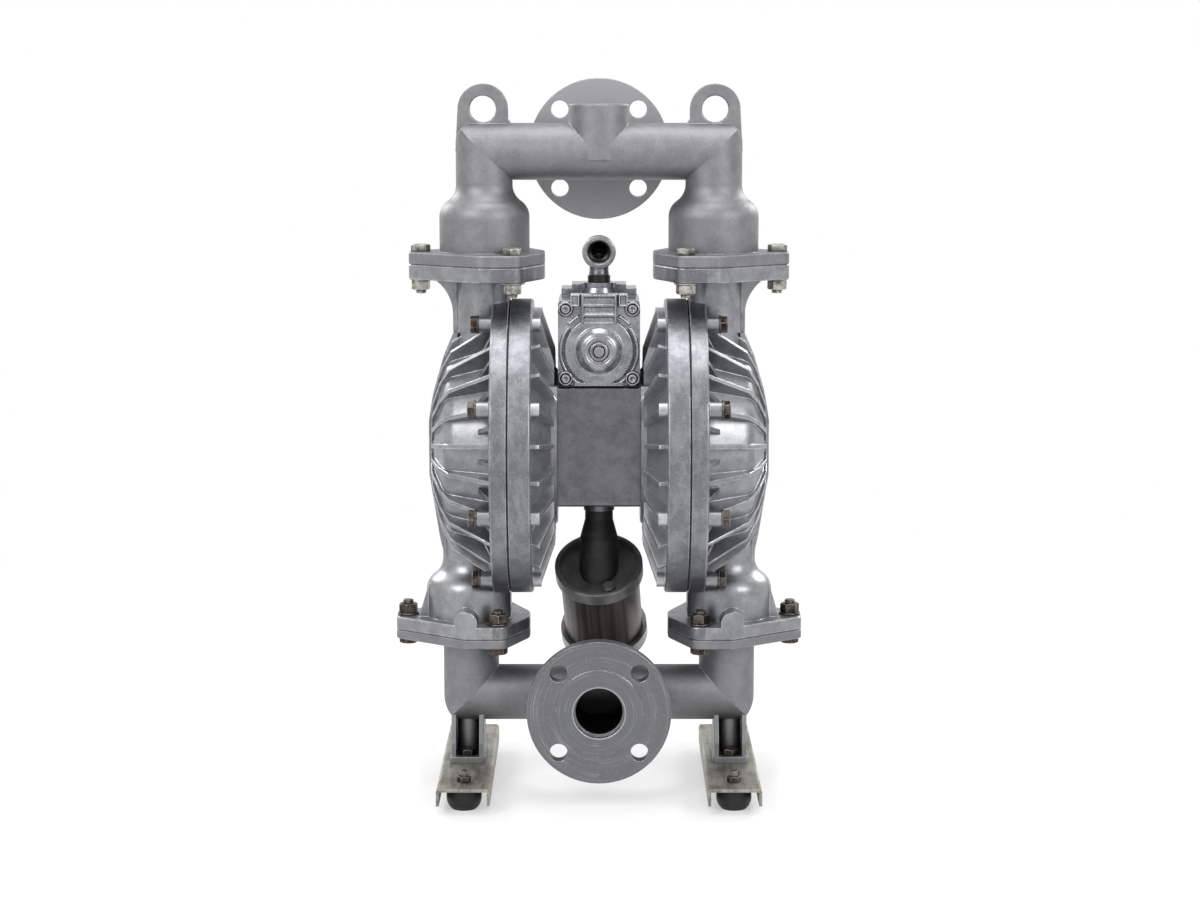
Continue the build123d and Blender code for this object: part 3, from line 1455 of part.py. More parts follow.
with BuildPart() as muffler_cap_top:
    with BuildSketch(muffler):
        Circle(muffler_cap_r)
    extrude(amount=-muffler_cap_t)
    with BuildSketch(muffler):
        Circle(muffler_cap_r - muffler_rim_w)
    with BuildSketch(muffler.offset(-muffler_recess)):
        Circle(muffler_cap_r - muffler_rim_w - muffler_recess / 2)
    loft(mode=Mode.SUBTRACT)
    with BuildSketch(muffler.offset(-muffler_recess)):
        with Locations(*screw_spots):
            Circle(muffler_boss_r)
    extrude(amount=muffler_boss_t)
    with BuildSketch(muffler.offset(-muffler_cap_t)):
        Circle(muffler_shell_r)
        Circle(muffler_shell_r - muffler_shell_wall, mode=Mode.SUBTRACT)
    extrude(amount=muffler_seat, mode=Mode.SUBTRACT)
    with BuildSketch(muffler):
        Circle(muffler_hole_r)
        with Locations(*screw_spots):
            Circle(muffler_screw_r + hole_gap / 2)
    extrude(amount=-muffler_cap_t, mode=Mode.SUBTRACT)
    with BuildSketch(muffler):
        with Locations(*screw_spots):
            Circle(muffler_screw_head_r + hole_gap)
    extrude(amount=muffler_screw_lift - muffler_recess, mode=Mode.SUBTRACT)
save(muffler_cap_top.part, "muffler_cap_top")

with BuildPart() as muffler_cap_bottom:
    with BuildSketch(muffler.offset(-muffler_len)):
        Circle(muffler_cap_r)
        with PolarLocations(muffler_vent_circle_r, muffler_vents):
            Circle(muffler_vent_r, mode=Mode.SUBTRACT)
        with Locations(*screw_spots):
            Circle(muffler_screw_r, mode=Mode.SUBTRACT)
    extrude(amount=muffler_cap_t)
    with BuildSketch(muffler.offset(low_cap_floor)):
        Circle(muffler_shell_r)
        Circle(muffler_shell_r - muffler_shell_wall, mode=Mode.SUBTRACT)
    extrude(amount=-muffler_seat, mode=Mode.SUBTRACT)
save(muffler_cap_bottom.part, "muffler_cap_bottom")

with BuildPart() as muffler_shell:
    with BuildSketch(muffler.offset(low_cap_floor - muffler_seat)):
        Circle(muffler_shell_r)
        Circle(muffler_shell_r - muffler_shell_wall, mode=Mode.SUBTRACT)
    extrude(amount=muffler_len - 2 * muffler_cap_t + 2 * muffler_seat)
save(muffler_shell.part, "muffler_shell")

with BuildPart() as muffler_element:
    with BuildSketch(muffler.offset(low_cap_floor)):
        Circle(muffler_element_r)
        Circle(muffler_element_r - muffler_element_wall, mode=Mode.SUBTRACT)
    extrude(amount=muffler_len - 2 * muffler_cap_t)
save(muffler_element.part, "muffler_element")

screw_floor = muffler_screw_lift - muffler_recess
with BuildPart() as muffler_screws:
    with BuildSketch(muffler.offset(screw_floor)):
        with Locations(*screw_spots):
            Circle(muffler_screw_head_r)
    extrude(amount=muffler_screw_head_t)
    with BuildSketch(muffler.offset(screw_floor)):
        with Locations(*screw_spots):
            Circle(muffler_screw_r)
    extrude(amount=2 * muffler_screw_lift - muffler_len - screw_floor)
save(muffler_screws.part, "muffler_screws")

with BuildPart() as exhaust_boot:
    with BuildSketch(front):
        Polygon(
            (exhaust_spigot_r + boot_grip_gap, boot_top),
            (boot_top_r, boot_top),
            (boot_top_r, boot_top - exhaust_spigot_len),
            (boot_bulge_r, boot_bulge_z),
            (boot_foot_r, boot_bulge_z - boot_foot_r),
            (boot_foot_r, muffler_floor_z - 2 * boot_foot_r),
            (boot_foot_r - boot_wall, muffler_floor_z - 2 * boot_foot_r),
            (boot_foot_r - boot_wall, boot_bulge_z - boot_foot_r),
            (exhaust_spigot_r + boot_grip_gap, boot_top - exhaust_spigot_len),
            align=None,
        )
    revolve(axis=Axis.Z)
    split(bisect_by=muffler_base, keep=Keep.TOP)
save(exhaust_boot.part, "exhaust_boot")

# Base rails and feet
with BuildPart() as rail:
    with BuildSketch(Plane.XZ.offset(-rail_half_y)) as channel:
        with Locations((rail_x, rail_top - rail_height / 2)):
            Rectangle(rail_width, rail_height)
        fillet(channel.vertices().group_by(Axis.Y)[-1], rail_bend_r)
        with Locations((rail_x, rail_top - rail_t - rail_height / 2)):
            Rectangle(rail_width - 2 * rail_t, rail_height, mode=Mode.SUBTRACT)
    extrude(amount=2 * rail_half_y)
    with BuildSketch(Plane.XY.offset(rail_top)):
        with Locations((rail_x, foot_y), (rail_x, -foot_y)):
            Circle(foot_stud_r + hole_gap)
        with Locations((rail_x, rail_bolt_y), (rail_x, -rail_bolt_y)):
            Circle(m10_r + hole_gap)
    extrude(amount=-rail_t, mode=Mode.SUBTRACT)
save(rail.part, "base_rail_right")
save(mirror(rail.part, about=Plane.YZ), "base_rail_left")

foot_top = rail_top - rail_t
foot_knee_z = foot_top * foot_knee_ratio
foot_waist_z = foot_top * foot_waist_ratio
foot_places = [Location((x, y, 0)) for x in (-rail_x, rail_x) for y in (-foot_y, foot_y)]
with BuildPart() as rubber_foot:
    with BuildSketch(front):
        with BuildLine():
            Polyline((0, 0), (foot_contact_r, 0))
            ThreePointArc((foot_contact_r, 0), (foot_r - foot_bulge, foot_knee_z), (foot_r, foot_waist_z))
            Polyline(
                (foot_r, foot_waist_z), (foot_r, foot_top), (foot_stud_r, foot_top),
                (foot_stud_r, foot_top - foot_stud_sink), (0, foot_top - foot_stud_sink), (0, 0),
            )
        make_face()
    revolve(axis=Axis.Z)
save(copies(rubber_foot.part, foot_places), "rubber_feet")

with BuildPart() as foot_stud:
    with BuildSketch(Plane.XY.offset(foot_top - foot_stud_sink)):
        Circle(foot_stud_r)
    extrude(amount=foot_stud_sink + rail_t + m8_nut + foot_stud_show)
save(copies(foot_stud.part, foot_places), "foot_studs")
save(copies(hex_nut(m8_af, m8_nut, foot_stud_r).moved(Location((0, 0, rail_top))), foot_places), "foot_nuts")

# Fasteners of the rails, the joints and the clamp flanges
rail_bolt_spots = [(x, y) for x in (-rail_x, rail_x) for y in (-rail_bolt_y, rail_bolt_y)]
rail_bolt_len = pedestal_t + rail_t + m10_nut + bolt_show / 2
rail_bolt = hex_bolt(m10_r, rail_bolt_len, m10_af, m10_head)
save(copies(rail_bolt, [Location((x, y, rail_top + pedestal_t)) for x, y in rail_bolt_spots]), "rail_bolts")
rail_nut = hex_nut(m10_af, m10_nut, m10_r)
save(copies(rail_nut, [Location((x, y, foot_top - m10_nut)) for x, y in rail_bolt_spots]), "rail_nuts")

upper_spots = [(side_of * x, y) for side_of in (-1, 1) for x, y in joint_points(upper_port_x)]
lower_spots = [(side_of * x, y) for side_of in (-1, 1) for x, y in joint_points(lower_port_x)]
nut_stack = washer_t + m12_nut
upper_grip = top_manifold_plate_t + top_chamber_plate_t
lower_grip = low_manifold_plate_t + low_chamber_plate_t
upper_head_z = upper_joint_z + top_manifold_plate_t
joint_nut = hex_nut(m12_af, m12_nut, m12_r)
joint_washer = ring(m12_washer_r, m12_r, washer_t)

upper_bolt = hex_bolt(m12_r, upper_grip + nut_stack + bolt_show, m12_af, m12_head)
save(copies(upper_bolt, [Location((x, y, upper_head_z)) for x, y in upper_spots]), "upper_joint_bolts")
upper_washer_z = top_chamber_bottom - washer_t
save(copies(joint_washer, [Location((x, y, upper_washer_z)) for x, y in upper_spots]), "upper_joint_washers")
upper_nut_z = upper_washer_z - m12_nut
save(copies(joint_nut, [Location((x, y, upper_nut_z)) for x, y in upper_spots]), "upper_joint_nuts")

lower_bolt = hex_bolt(m12_r, lower_grip + nut_stack + bolt_show, m12_af, m12_head)
lower_bolt_places = [Location((x, y, low_plate_bottom), (180, 0, 0)) for x, y in lower_spots]
save(copies(lower_bolt, lower_bolt_places), "lower_joint_bolts")
save(copies(joint_washer, [Location((x, y, low_chamber_top)) for x, y in lower_spots]), "lower_joint_washers")
lower_nut_z = low_chamber_top + washer_t
save(copies(joint_nut, [Location((x, y, lower_nut_z)) for x, y in lower_spots]), "lower_joint_nuts")

clamp_head_x = fluid_back_x + chamber_boss_len
clamp_bolt_len = washer_t + clamp_head_x - air_face_x + bolt_depth
clamp_bolt = hex_bolt(m10_r, clamp_bolt_len, m10_af, m10_head)
clamp_washer = ring(m10_washer_r, m10_r, washer_t)
for name, hand in (("left", -1), ("right", 1)):
    bolt_places = []
    washer_places = []
    for turn in range(chamber_bolts):
        angle = radians((turn + 0.5) * 360 / chamber_bolts)
        y = chamber_bolt_circle_r * cos(angle)
        z = rod_z + chamber_bolt_circle_r * sin(angle)
        bolt_places.append(Location((hand * (clamp_head_x + washer_t), y, z), (0, hand * 90, 0)))
        washer_places.append(Location((hand * clamp_head_x, y, z), (0, hand * 90, 0)))
    save(copies(clamp_bolt, bolt_places), f"clamp_bolts_{name}")
    save(copies(clamp_washer, washer_places), f"clamp_washers_{name}")
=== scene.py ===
import json
import math
import bpy
import bmesh
from mathutils import Matrix, Vector

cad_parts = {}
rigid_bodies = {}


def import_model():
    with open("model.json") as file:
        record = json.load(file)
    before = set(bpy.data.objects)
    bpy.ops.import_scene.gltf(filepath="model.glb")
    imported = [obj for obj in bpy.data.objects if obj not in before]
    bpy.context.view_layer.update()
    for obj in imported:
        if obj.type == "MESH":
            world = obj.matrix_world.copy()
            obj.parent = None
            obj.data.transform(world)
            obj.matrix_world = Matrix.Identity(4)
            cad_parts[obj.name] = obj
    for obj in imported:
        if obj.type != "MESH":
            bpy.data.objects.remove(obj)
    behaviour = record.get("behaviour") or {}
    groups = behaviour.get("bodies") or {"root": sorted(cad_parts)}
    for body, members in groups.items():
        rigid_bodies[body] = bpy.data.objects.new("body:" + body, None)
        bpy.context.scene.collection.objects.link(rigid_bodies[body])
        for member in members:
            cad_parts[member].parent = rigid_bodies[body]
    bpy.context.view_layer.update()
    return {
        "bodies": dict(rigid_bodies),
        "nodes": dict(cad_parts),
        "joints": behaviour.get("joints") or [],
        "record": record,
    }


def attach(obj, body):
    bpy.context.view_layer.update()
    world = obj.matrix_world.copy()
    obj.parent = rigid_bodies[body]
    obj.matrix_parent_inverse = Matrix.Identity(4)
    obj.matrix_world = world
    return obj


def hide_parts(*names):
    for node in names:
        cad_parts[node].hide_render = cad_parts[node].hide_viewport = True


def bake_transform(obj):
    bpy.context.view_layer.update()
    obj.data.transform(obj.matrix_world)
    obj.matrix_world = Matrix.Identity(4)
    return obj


# The diaphragm pump's looks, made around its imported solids: floor at z = 0, front at -Y.
# Camera, studio and materials are in metres, the shapes of pieces in millimetres.
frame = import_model()
solids = frame["nodes"]
mm = 0.001
print("loaded", len(solids), "solids")


class Wire:  # a node's output, which can be added, multiplied and so on
    def __init__(self, board, source, out=0):
        self.board = board
        self.source = source
        self.socket = source.outputs[out] if source.outputs else None

    def sibling(self, out):  # another output of the same node
        return Wire(self.board, self.source, out)

    def combine(self, operation, other, flipped=False):
        first, second = (other, self) if flipped else (self, other)
        return self.board.node("ShaderNodeMath", {"operation": operation}, {0: first, 1: second})

    def __add__(self, other):
        return self.combine("ADD", other)

    def __sub__(self, other):
        return self.combine("SUBTRACT", other)

    def __rsub__(self, other):
        return self.combine("SUBTRACT", other, True)

    def __mul__(self, other):
        return self.combine("MULTIPLY", other)

    def __pow__(self, other):
        return self.combine("POWER", other)

    def mix(self, other, share):  # a share of this one and the rest of the other
        return self * share + other * (1 - share)

    __radd__ = __add__
    __rmul__ = __mul__


class Board:  # a node tree, and the one method that adds nodes to it
    def __init__(self, tree):
        self.tree = tree
        self.tree.nodes.clear()

    def node(self, kind, settings=None, values=None, out=0):
        made = self.tree.nodes.new(kind)
        for key, value in (settings or {}).items():
            setattr(made, key, value)
        for key, value in (values or {}).items():
            self.plug(made.inputs[key], value)
        return Wire(self, made, out)

    def plug(self, socket, value):
        if isinstance(value, Wire):
            self.tree.links.new(value.socket, socket)
        else:
            socket.default_value = value


surfaceReading = {"bevelSamples": 4, "openSamples": 5, "wornFrom": 0.02, "wornTo": 0.16}


class Paint(Board):  # one material and what its shader is fed with
    def __init__(self, name):
        self.material = bpy.data.materials.new(name)
        self.material.use_nodes = True
        super().__init__(self.material.node_tree)
        self.shader = self.node("ShaderNodeBsdfPrincipled")
        self.output = self.node("ShaderNodeOutputMaterial", values={"Surface": self.shader})
        self.place = self.node("ShaderNodeTexCoord", out="Object")

    def set(self, **values):
        for key, value in values.items():
            self.plug(self.shader.source.inputs[key.replace("_", " ")], value)

    def axes(self):  # x, y and z of the surface point
        split = self.node("ShaderNodeSeparateXYZ", values={0: self.place})
        return [split.sibling(index) for index in range(3)]

    def away(self, centre, axes):  # distance from a line along the axis that isn't named
        place = self.axes()
        first = place[axes[0]] - centre[0]
        second = place[axes[1]] - centre[1]
        return (first * first + second * second) ** 0.5

    def stretched(self, scale):
        return self.node("ShaderNodeMapping", values={"Vector": self.place, "Scale": scale})

    def grain(self, scale, detail, roughness, place=None):
        values = {"Vector": place or self.place, "Scale": scale, "Detail": detail, "Roughness": roughness}
        return self.node("ShaderNodeTexNoise", values=values)

    def step(self, wire, low, high):  # 0 below low, 1 above high, smooth between
        return self.node(
            "ShaderNodeMapRange", {"interpolation_type": "SMOOTHSTEP"},
            {0: wire, 1: low, 2: high, 3: 0.0, 4: 1.0},
        )

    def blend(self, mask, first, second):
        first, second = [c if isinstance(c, Wire) else (*c, 1.0) for c in (first, second)]
        return self.node("ShaderNodeMix", {"data_type": "RGBA"}, {0: mask, 6: first, 7: second}, out=2)

    def softEdge(self, radius):  # the surface direction with its edges rounded off
        return self.node("ShaderNodeBevel", {"samples": surfaceReading["bevelSamples"]}, {"Radius": radius})

    def wear(self, soft):  # 1 on sharp edges, 0 on plain surfaces
        plain = self.node("ShaderNodeNewGeometry", out="Normal")
        same = self.node(
            "ShaderNodeVectorMath", {"operation": "DOT_PRODUCT"}, {0: soft, 1: plain}, out="Value"
        )
        return self.step(1 - same, surfaceReading["wornFrom"], surfaceReading["wornTo"])

    def openness(self, look):  # 1 in the open, 0 deep in a corner or a bore; it sets where shade is painted
        settings = {"samples": surfaceReading["openSamples"]}
        opened = self.node("ShaderNodeAmbientOcclusion", settings, {"Distance": look["reach"]}, out="AO")
        return self.step(opened, *look["grimeOpen"])

    def stained(self, first, second, look):  # dark and light by two grains
        tone = self.step(first.mix(second, look["share"]), *look["tone"])
        return self.blend(tone, look["dark"], look["light"])

    def bump(self, height, look, soft=None):
        values = {"Height": height, "Distance": look["bump"], "Strength": look["bumpStrength"]}
        if soft:
            values["Normal"] = soft
        return self.node("ShaderNodeBump", values=values)


def addObject(name, data):
    made = bpy.data.objects.new(name, data)
    bpy.context.scene.collection.objects.link(made)
    return made


cameraLook = {
    "focusPixels": 2700, "imageWidth": 1200, "shiftPixels": 1, "sensor": 36.0,
    "distance": 2.9, "pitch": 8.3, "aim": (0, 0, 0.365),
}


def setCamera(look):
    data = bpy.data.cameras.new("pumpCamera")
    data.sensor_width = look["sensor"]
    data.lens = look["sensor"] * look["focusPixels"] / look["imageWidth"]
    data.shift_x = look["shiftPixels"] / look["imageWidth"]
    holder = addObject("pumpCamera", data)
    pitch = math.radians(look["pitch"])
    back = Vector((0, -math.cos(pitch), math.sin(pitch)))
    holder.location = Vector(look["aim"]) + look["distance"] * back
    holder.rotation_euler = (math.radians(90) - pitch, 0, 0)
    bpy.context.scene.camera = holder


studio = {
    "worldGrey": (0.62, 0.62, 0.62, 1.0), "white": (1.0, 1.0, 1.0, 1.0), "lampAim": (0, 0, 0.35),
    "lamps": {
        "frontLeft": {"at": (-1.5, -2.0, 1.9), "size": 1.3, "power": 34},
        "frontRight": {"at": (1.7, -1.8, 1.5), "size": 1.1, "power": 24},
        "overhead": {"at": (0.0, -0.2, 2.6), "size": 1.6, "power": 26},
        "rearLeft": {"at": (-1.6, 1.5, 1.5), "size": 0.9, "power": 22},
        "rearRight": {"at": (1.6, 1.5, 1.5), "size": 0.9, "power": 22},
    },
    "floorHalf": 20.0, "floorColour": (0.9, 0.9, 0.9, 1.0), "floorRoughness": 0.6,
    "floorFade": (0.35, 1.6), "floorGlow": 0.45,
}


def setLamps(look):
    for name, lamp in look["lamps"].items():
        data = bpy.data.lights.new(name, "AREA")
        data.shape = "DISK"
        data.size = lamp["size"]
        data.energy = lamp["power"]
        holder = addObject(name, data)
        holder.location = lamp["at"]
        towards = Vector(look["lampAim"]) - holder.location
        holder.rotation_euler = towards.to_track_quat("-Z", "Y").to_euler()


def setWorld(look):  # grey light, and plain white where the camera, gloss or glass looks at it
    world = bpy.data.worlds.new("paleStudio")
    bpy.context.scene.world = world
    world.use_nodes = True
    board = Board(world.node_tree)
    ray = board.node("ShaderNodeLightPath", out="Is Camera Ray")
    seen = ray.combine("MAXIMUM", ray.sibling("Is Glossy Ray"))
    seen = seen.combine("MAXIMUM", ray.sibling("Is Transmission Ray"))
    soft = board.node("ShaderNodeBackground", values={"Color": look["worldGrey"]})
    white = board.node("ShaderNodeBackground", values={"Color": look["white"]})
    mixed = board.node("ShaderNodeMixShader", values={0: seen, 1: soft, 2: white})
    board.node("ShaderNodeOutputWorld", values={"Surface": mixed})


def layFloor(look):  # pale near the pump, so that it takes a shadow, and white farther out
    half = look["floorHalf"]
    mesh = bpy.data.meshes.new("studioFloor")
    corners = [(-half, -half, 0), (half, -half, 0), (half, half, 0), (-half, half, 0)]
    mesh.from_pydata(corners, [], [(0, 1, 2, 3)])
    floor = addObject("studioFloor", mesh)
    paint = Paint("paleFloor")
    paint.set(Base_Color=look["floorColour"], Roughness=look["floorRoughness"])
    far = paint.step(paint.away((0, 0), (0, 1)), *look["floorFade"])
    ray = paint.node("ShaderNodeLightPath", out="Is Camera Ray")
    seen = ray.combine("MAXIMUM", ray.sibling("Is Glossy Ray"))
    glow = paint.node("ShaderNodeEmission", values={"Color": look["white"], "Strength": 1.0})
    share = seen * (look["floorGlow"] + (1 - look["floorGlow"]) * far)
    mixed = paint.node("ShaderNodeMixShader", values={0: share, 1: paint.shader, 2: glow})
    paint.plug(paint.output.source.inputs["Surface"], mixed)
    mesh.materials.append(paint.material)


setCamera(cameraLook)
setLamps(studio)
setWorld(studio)
layFloor(studio)
bpy.context.scene.view_settings.view_transform = "Standard"
print("set the camera, the lamps and the floor")


# Grains are (scale, detail, roughness), and pairs are where a mask starts and ends.
# The edge colour lightens sharp edges, partly as wear and partly as painted highlight; it also colours the
# sand's specks.
castSurface = {  # what all the castings share
    "clouds": (14.0, 5.0, 0.6), "patches": (75.0, 4.0, 0.7), "sandDetail": (2.0, 0.6),
    "share": 0.45, "tone": (0.36, 0.64), "patchRough": 0.14, "metallic": 0.88,
    "sandSpots": (0.58, 0.76), "sandShine": 0.30, "sandHeight": 0.65, "bumpStrength": 0.6,
    "wornPatches": (0.30, 0.62), "wornShine": 0.75, "wornSmooth": 0.1, "grimeOpen": (0.02, 0.52),
}
# In each look, the darkest colour is painted shade for corners, hollows and bores.
sandCast = {
    "dark": (0.185, 0.186, 0.194), "light": (0.240, 0.241, 0.251),
    "edge": (0.56, 0.57, 0.59), "grime": (0.030, 0.030, 0.031),
    "roughness": 0.46, "grain": 850.0, "bump": 0.00032, "edgeRadius": 0.0014, "reach": 0.022,
}
chamberCast = {
    "dark": (0.205, 0.210, 0.224), "light": (0.315, 0.320, 0.338),
    "edge": (0.84, 0.85, 0.88), "grime": (0.095, 0.097, 0.104),
    "roughness": 0.30, "grain": 900.0, "bump": 0.00012, "edgeRadius": 0.0016, "reach": 0.010,
}
airCast = {
    **chamberCast, "dark": (0.33, 0.336, 0.354), "light": (0.47, 0.476, 0.498),
    "edge": (0.86, 0.87, 0.90), "grime": (0.20, 0.204, 0.216), "roughness": 0.34,
}
bodyCast = {
    "dark": (0.104, 0.105, 0.110), "light": (0.165, 0.167, 0.175),
    "edge": (0.46, 0.46, 0.47), "grime": (0.022, 0.022, 0.023),
    "roughness": 0.22, "grain": 700.0, "bump": 0.00006, "edgeRadius": 0.0012, "reach": 0.030,
}
valveCast = {
    "dark": (0.165, 0.170, 0.188), "light": (0.31, 0.318, 0.345),
    "edge": (0.90, 0.91, 0.93), "grime": (0.012, 0.013, 0.015),
    "roughness": 0.20, "grain": 600.0, "bump": 0.00008, "edgeRadius": 0.0009, "reach": 0.016,
}
elbowCast = {
    "dark": (0.120, 0.120, 0.126), "light": (0.33, 0.33, 0.342),
    "edge": (0.80, 0.80, 0.81), "grime": (0.012, 0.012, 0.012),
    "roughness": 0.26, "grain": 1100.0, "bump": 0.00018, "edgeRadius": 0.0010, "reach": 0.012,
}
mufflerCast = {
    "dark": (0.21, 0.211, 0.216), "light": (0.30, 0.301, 0.308),
    "edge": (0.50, 0.51, 0.52), "grime": (0.07, 0.07, 0.072),
    "roughness": 0.32, "grain": 1200.0, "bump": 0.00012, "edgeRadius": 0.0012, "reach": 0.018,
}
clampRim = {  # the paler stained ring where the chambers are clamped
    "axisZ": 0.37, "radius": 0.1545, "radiusFade": 0.0012, "halfX": 0.1122, "halfXFade": 0.0008,
    "blots": (60.0, 6.0, 0.75), "blotStretch": (1.0, 1.0, 0.45), "blotted": (0.40, 0.62),
    "stain": (0.155, 0.160, 0.176), "light": (0.235, 0.240, 0.258),
}
ports = {  # side is the way that the port looks along y
    "suction": {"height": 0.0995, "side": -1, "paleBack": False},
    "discharge": {"height": 0.684, "side": 1, "paleBack": True},
}
portTurning = {  # how the ports' faces are turned, with a painted glint on each bore's lip
    "back": (0.0775, 0.0795), "backLight": (0.33, 0.332, 0.344),
    "plane": (0.0975, 0.0979), "light": (0.140, 0.142, 0.151), "mark": (0.55, 0.56, 0.58),
    "lip": (0.0262, 0.0272, 0.0290), "fine": 2600.0, "along": 1.1, "broad": 0.12,
    "thinGrain": (1.0, 2.0, 0.6), "broadGrain": (1.0, 2.0, 0.5), "thin": (0.50, 0.78), "wide": (0.42, 0.66),
    "markShine": 0.8, "cover": 0.9, "smoother": 0.20,
}
boreEdges = {"wall": 0.0005, "mouth": 0.002}
portBore = {  # painted shade: the walls are painted near black a little way into each port
    "radius": 0.0273, "start": 0.0, "depth": 0.084, "fade": 0.008, "colour": (0.006, 0.006, 0.006),
}
# painted shade: the inlet elbow's bore is painted dark a little way in
inletBore = {
    "height": 0.5795, "side": -1, "radius": 0.0121, "start": 0.004, "depth": 0.0268, "fade": 0.0024,
    "colour": (0.03, 0.03, 0.031),
}
# How bright the relief's ridges are painted, partly wear and partly highlight, and how dark its grooves are
# painted as shade.
reliefTone = {"bend": (0.515, 0.60), "ridge": 0.6, "groove": 0.9}


def clampedRim(paint, rim, colour):
    across = paint.axes()[0]
    near = 1 - paint.step(across * across, rim["halfX"] ** 2, (rim["halfX"] + rim["halfXFade"]) ** 2)
    out = paint.away((0, rim["axisZ"]), (1, 2))
    ring = near * paint.step(out, rim["radius"], rim["radius"] + rim["radiusFade"])
    blots = paint.step(paint.grain(*rim["blots"], paint.stretched(rim["blotStretch"])), *rim["blotted"])
    return paint.blend(ring, colour, paint.blend(blots, rim["stain"], rim["light"]))


def turnedMarks(paint, height):  # thin bright arcs left by the cutter round a port
    look = portTurning
    x, _, z = paint.axes()
    out = paint.away((0, height), (0, 2))
    around = x.combine("ARCTAN2", z - height)
    spun = paint.node("ShaderNodeCombineXYZ", values={0: out * look["fine"], 1: around * look["along"]})
    slow = paint.node("ShaderNodeVectorMath", {"operation": "SCALE"}, {0: spun, "Scale": look["broad"]})
    thin = paint.step(paint.grain(*look["thinGrain"], spun), *look["thin"])
    return thin * paint.step(paint.grain(*look["broadGrain"], slow), *look["wide"])


def portFace(paint, port, colour, rough):
    look = portTurning
    across = paint.axes()[1] * port["side"]
    if port["paleBack"]:
        colour = paint.blend(paint.step(across, *look["back"]), colour, look["backLight"])
    face = paint.step(across, *look["plane"])
    marks = turnedMarks(paint, port["height"]) * look["markShine"]
    cut = paint.blend(marks, look["light"], look["mark"])
    out = paint.away((0, port["height"]), (0, 2))
    # painted glint: a bright ring round the bore's lip
    start, middle, end = look["lip"]
    lip = paint.step(out, start, middle) * (1 - paint.step(out, middle, end))
    cut = paint.blend(lip * look["markShine"], cut, look["mark"])
    return paint.blend(face * look["cover"], colour, cut), rough - look["smoother"] * face


def reliefLines(paint, look, colour):  # ridges painted bright, partly wear and partly painted highlight, and grooves darkened as painted shade
    bend = paint.node("ShaderNodeNewGeometry", out="Pointiness")
    wornAndHighlitRidges = paint.step(bend, *reliefTone["bend"]) * reliefTone["ridge"]
    shadedGrooves = paint.step(1 - bend, *reliefTone["bend"]) * reliefTone["groove"]
    return paint.blend(shadedGrooves, paint.blend(wornAndHighlitRidges, colour, look["edge"]), look["grime"])


def darkInside(paint, bore, colour):
    along = paint.axes()[1] * bore["side"]
    out = paint.away((0, bore["height"]), (0, 2))
    within = 1 - paint.step(out, bore["radius"], bore["radius"] + boreEdges["wall"])
    begun = paint.step(along, bore["start"], bore["start"] + boreEdges["mouth"])
    deep = begun * (1 - paint.step(along, bore["depth"], bore["depth"] + bore["fade"]))
    # painted shade: the bore's walls take its dark colour
    return paint.blend(within * deep, colour, bore["colour"])


def castMetal(name, look, port=None, rim=None, relief=False, bore=None):
    look = {**castSurface, **look}
    paint = Paint(name)
    patches = paint.grain(*look["patches"])
    sand = paint.grain(look["grain"], *look["sandDetail"])
    soft = paint.softEdge(look["edgeRadius"])
    # sharp edges in worn patches are lightened: partly wear, partly painted highlight
    wearAndHighlight = paint.wear(soft) * paint.step(patches, *look["wornPatches"])
    colour = paint.stained(paint.grain(*look["clouds"]), patches, look)
    rough = look["roughness"] + look["patchRough"] * patches
    if rim:
        colour = clampedRim(paint, rim, colour)
    if port:
        colour, rough = portFace(paint, port, colour, rough)
    spots = paint.step(sand, *look["sandSpots"]) * look["sandShine"]
    colour = paint.blend(spots, colour, look["edge"])
    colour = paint.blend(wearAndHighlight * look["wornShine"], colour, look["edge"])
    # painted shade: corners, hollows and bores darken towards a near-black colour
    colour = paint.blend(paint.openness(look), look["grime"], colour)
    if relief:
        colour = reliefLines(paint, look, colour)
    if bore:
        colour = darkInside(paint, bore, colour)
    paint.set(
        Base_Color=colour, Metallic=look["metallic"], Roughness=rough - look["wornSmooth"] * wearAndHighlight,
        Normal=paint.bump(sand.mix(patches, look["sandHeight"]), look, soft),
    )
    return paint.material


platedSurface = {  # what all the zinc plate shares
    "stains": (150.0, 5.0, 0.7), "haze": (30.0, 3.0, 0.6), "fine": (1800.0, 2.0, 0.6),
    "stretch": (1.0, 1.0, 1.0), "share": 0.6, "tone": (0.38, 0.60), "stainRough": 0.2, "metallic": 0.9,
    "edgeRadius": 0.0009, "wornShine": 0.6, "reach": 0.008, "grimeOpen": (0.05, 0.70),
    "bump": 0.0001, "bumpStrength": 0.3,
}
agedZinc = {
    "dark": (0.020, 0.014, 0.011), "light": (0.120, 0.102, 0.088), "edge": (0.62, 0.59, 0.54),
    "grime": (0.008, 0.007, 0.006), "roughness": 0.24,
}
paleZinc = {
    "dark": (0.10, 0.094, 0.080), "light": (0.50, 0.486, 0.450), "edge": (0.90, 0.88, 0.82),
    "grime": (0.02, 0.018, 0.014), "roughness": 0.22,
}
railZinc = {
    "dark": (0.155, 0.148, 0.120), "light": (0.34, 0.33, 0.295), "edge": (0.66, 0.65, 0.59),
    "grime": (0.045, 0.042, 0.032), "roughness": 0.40, "stretch": (1.0, 0.15, 1.0),
}


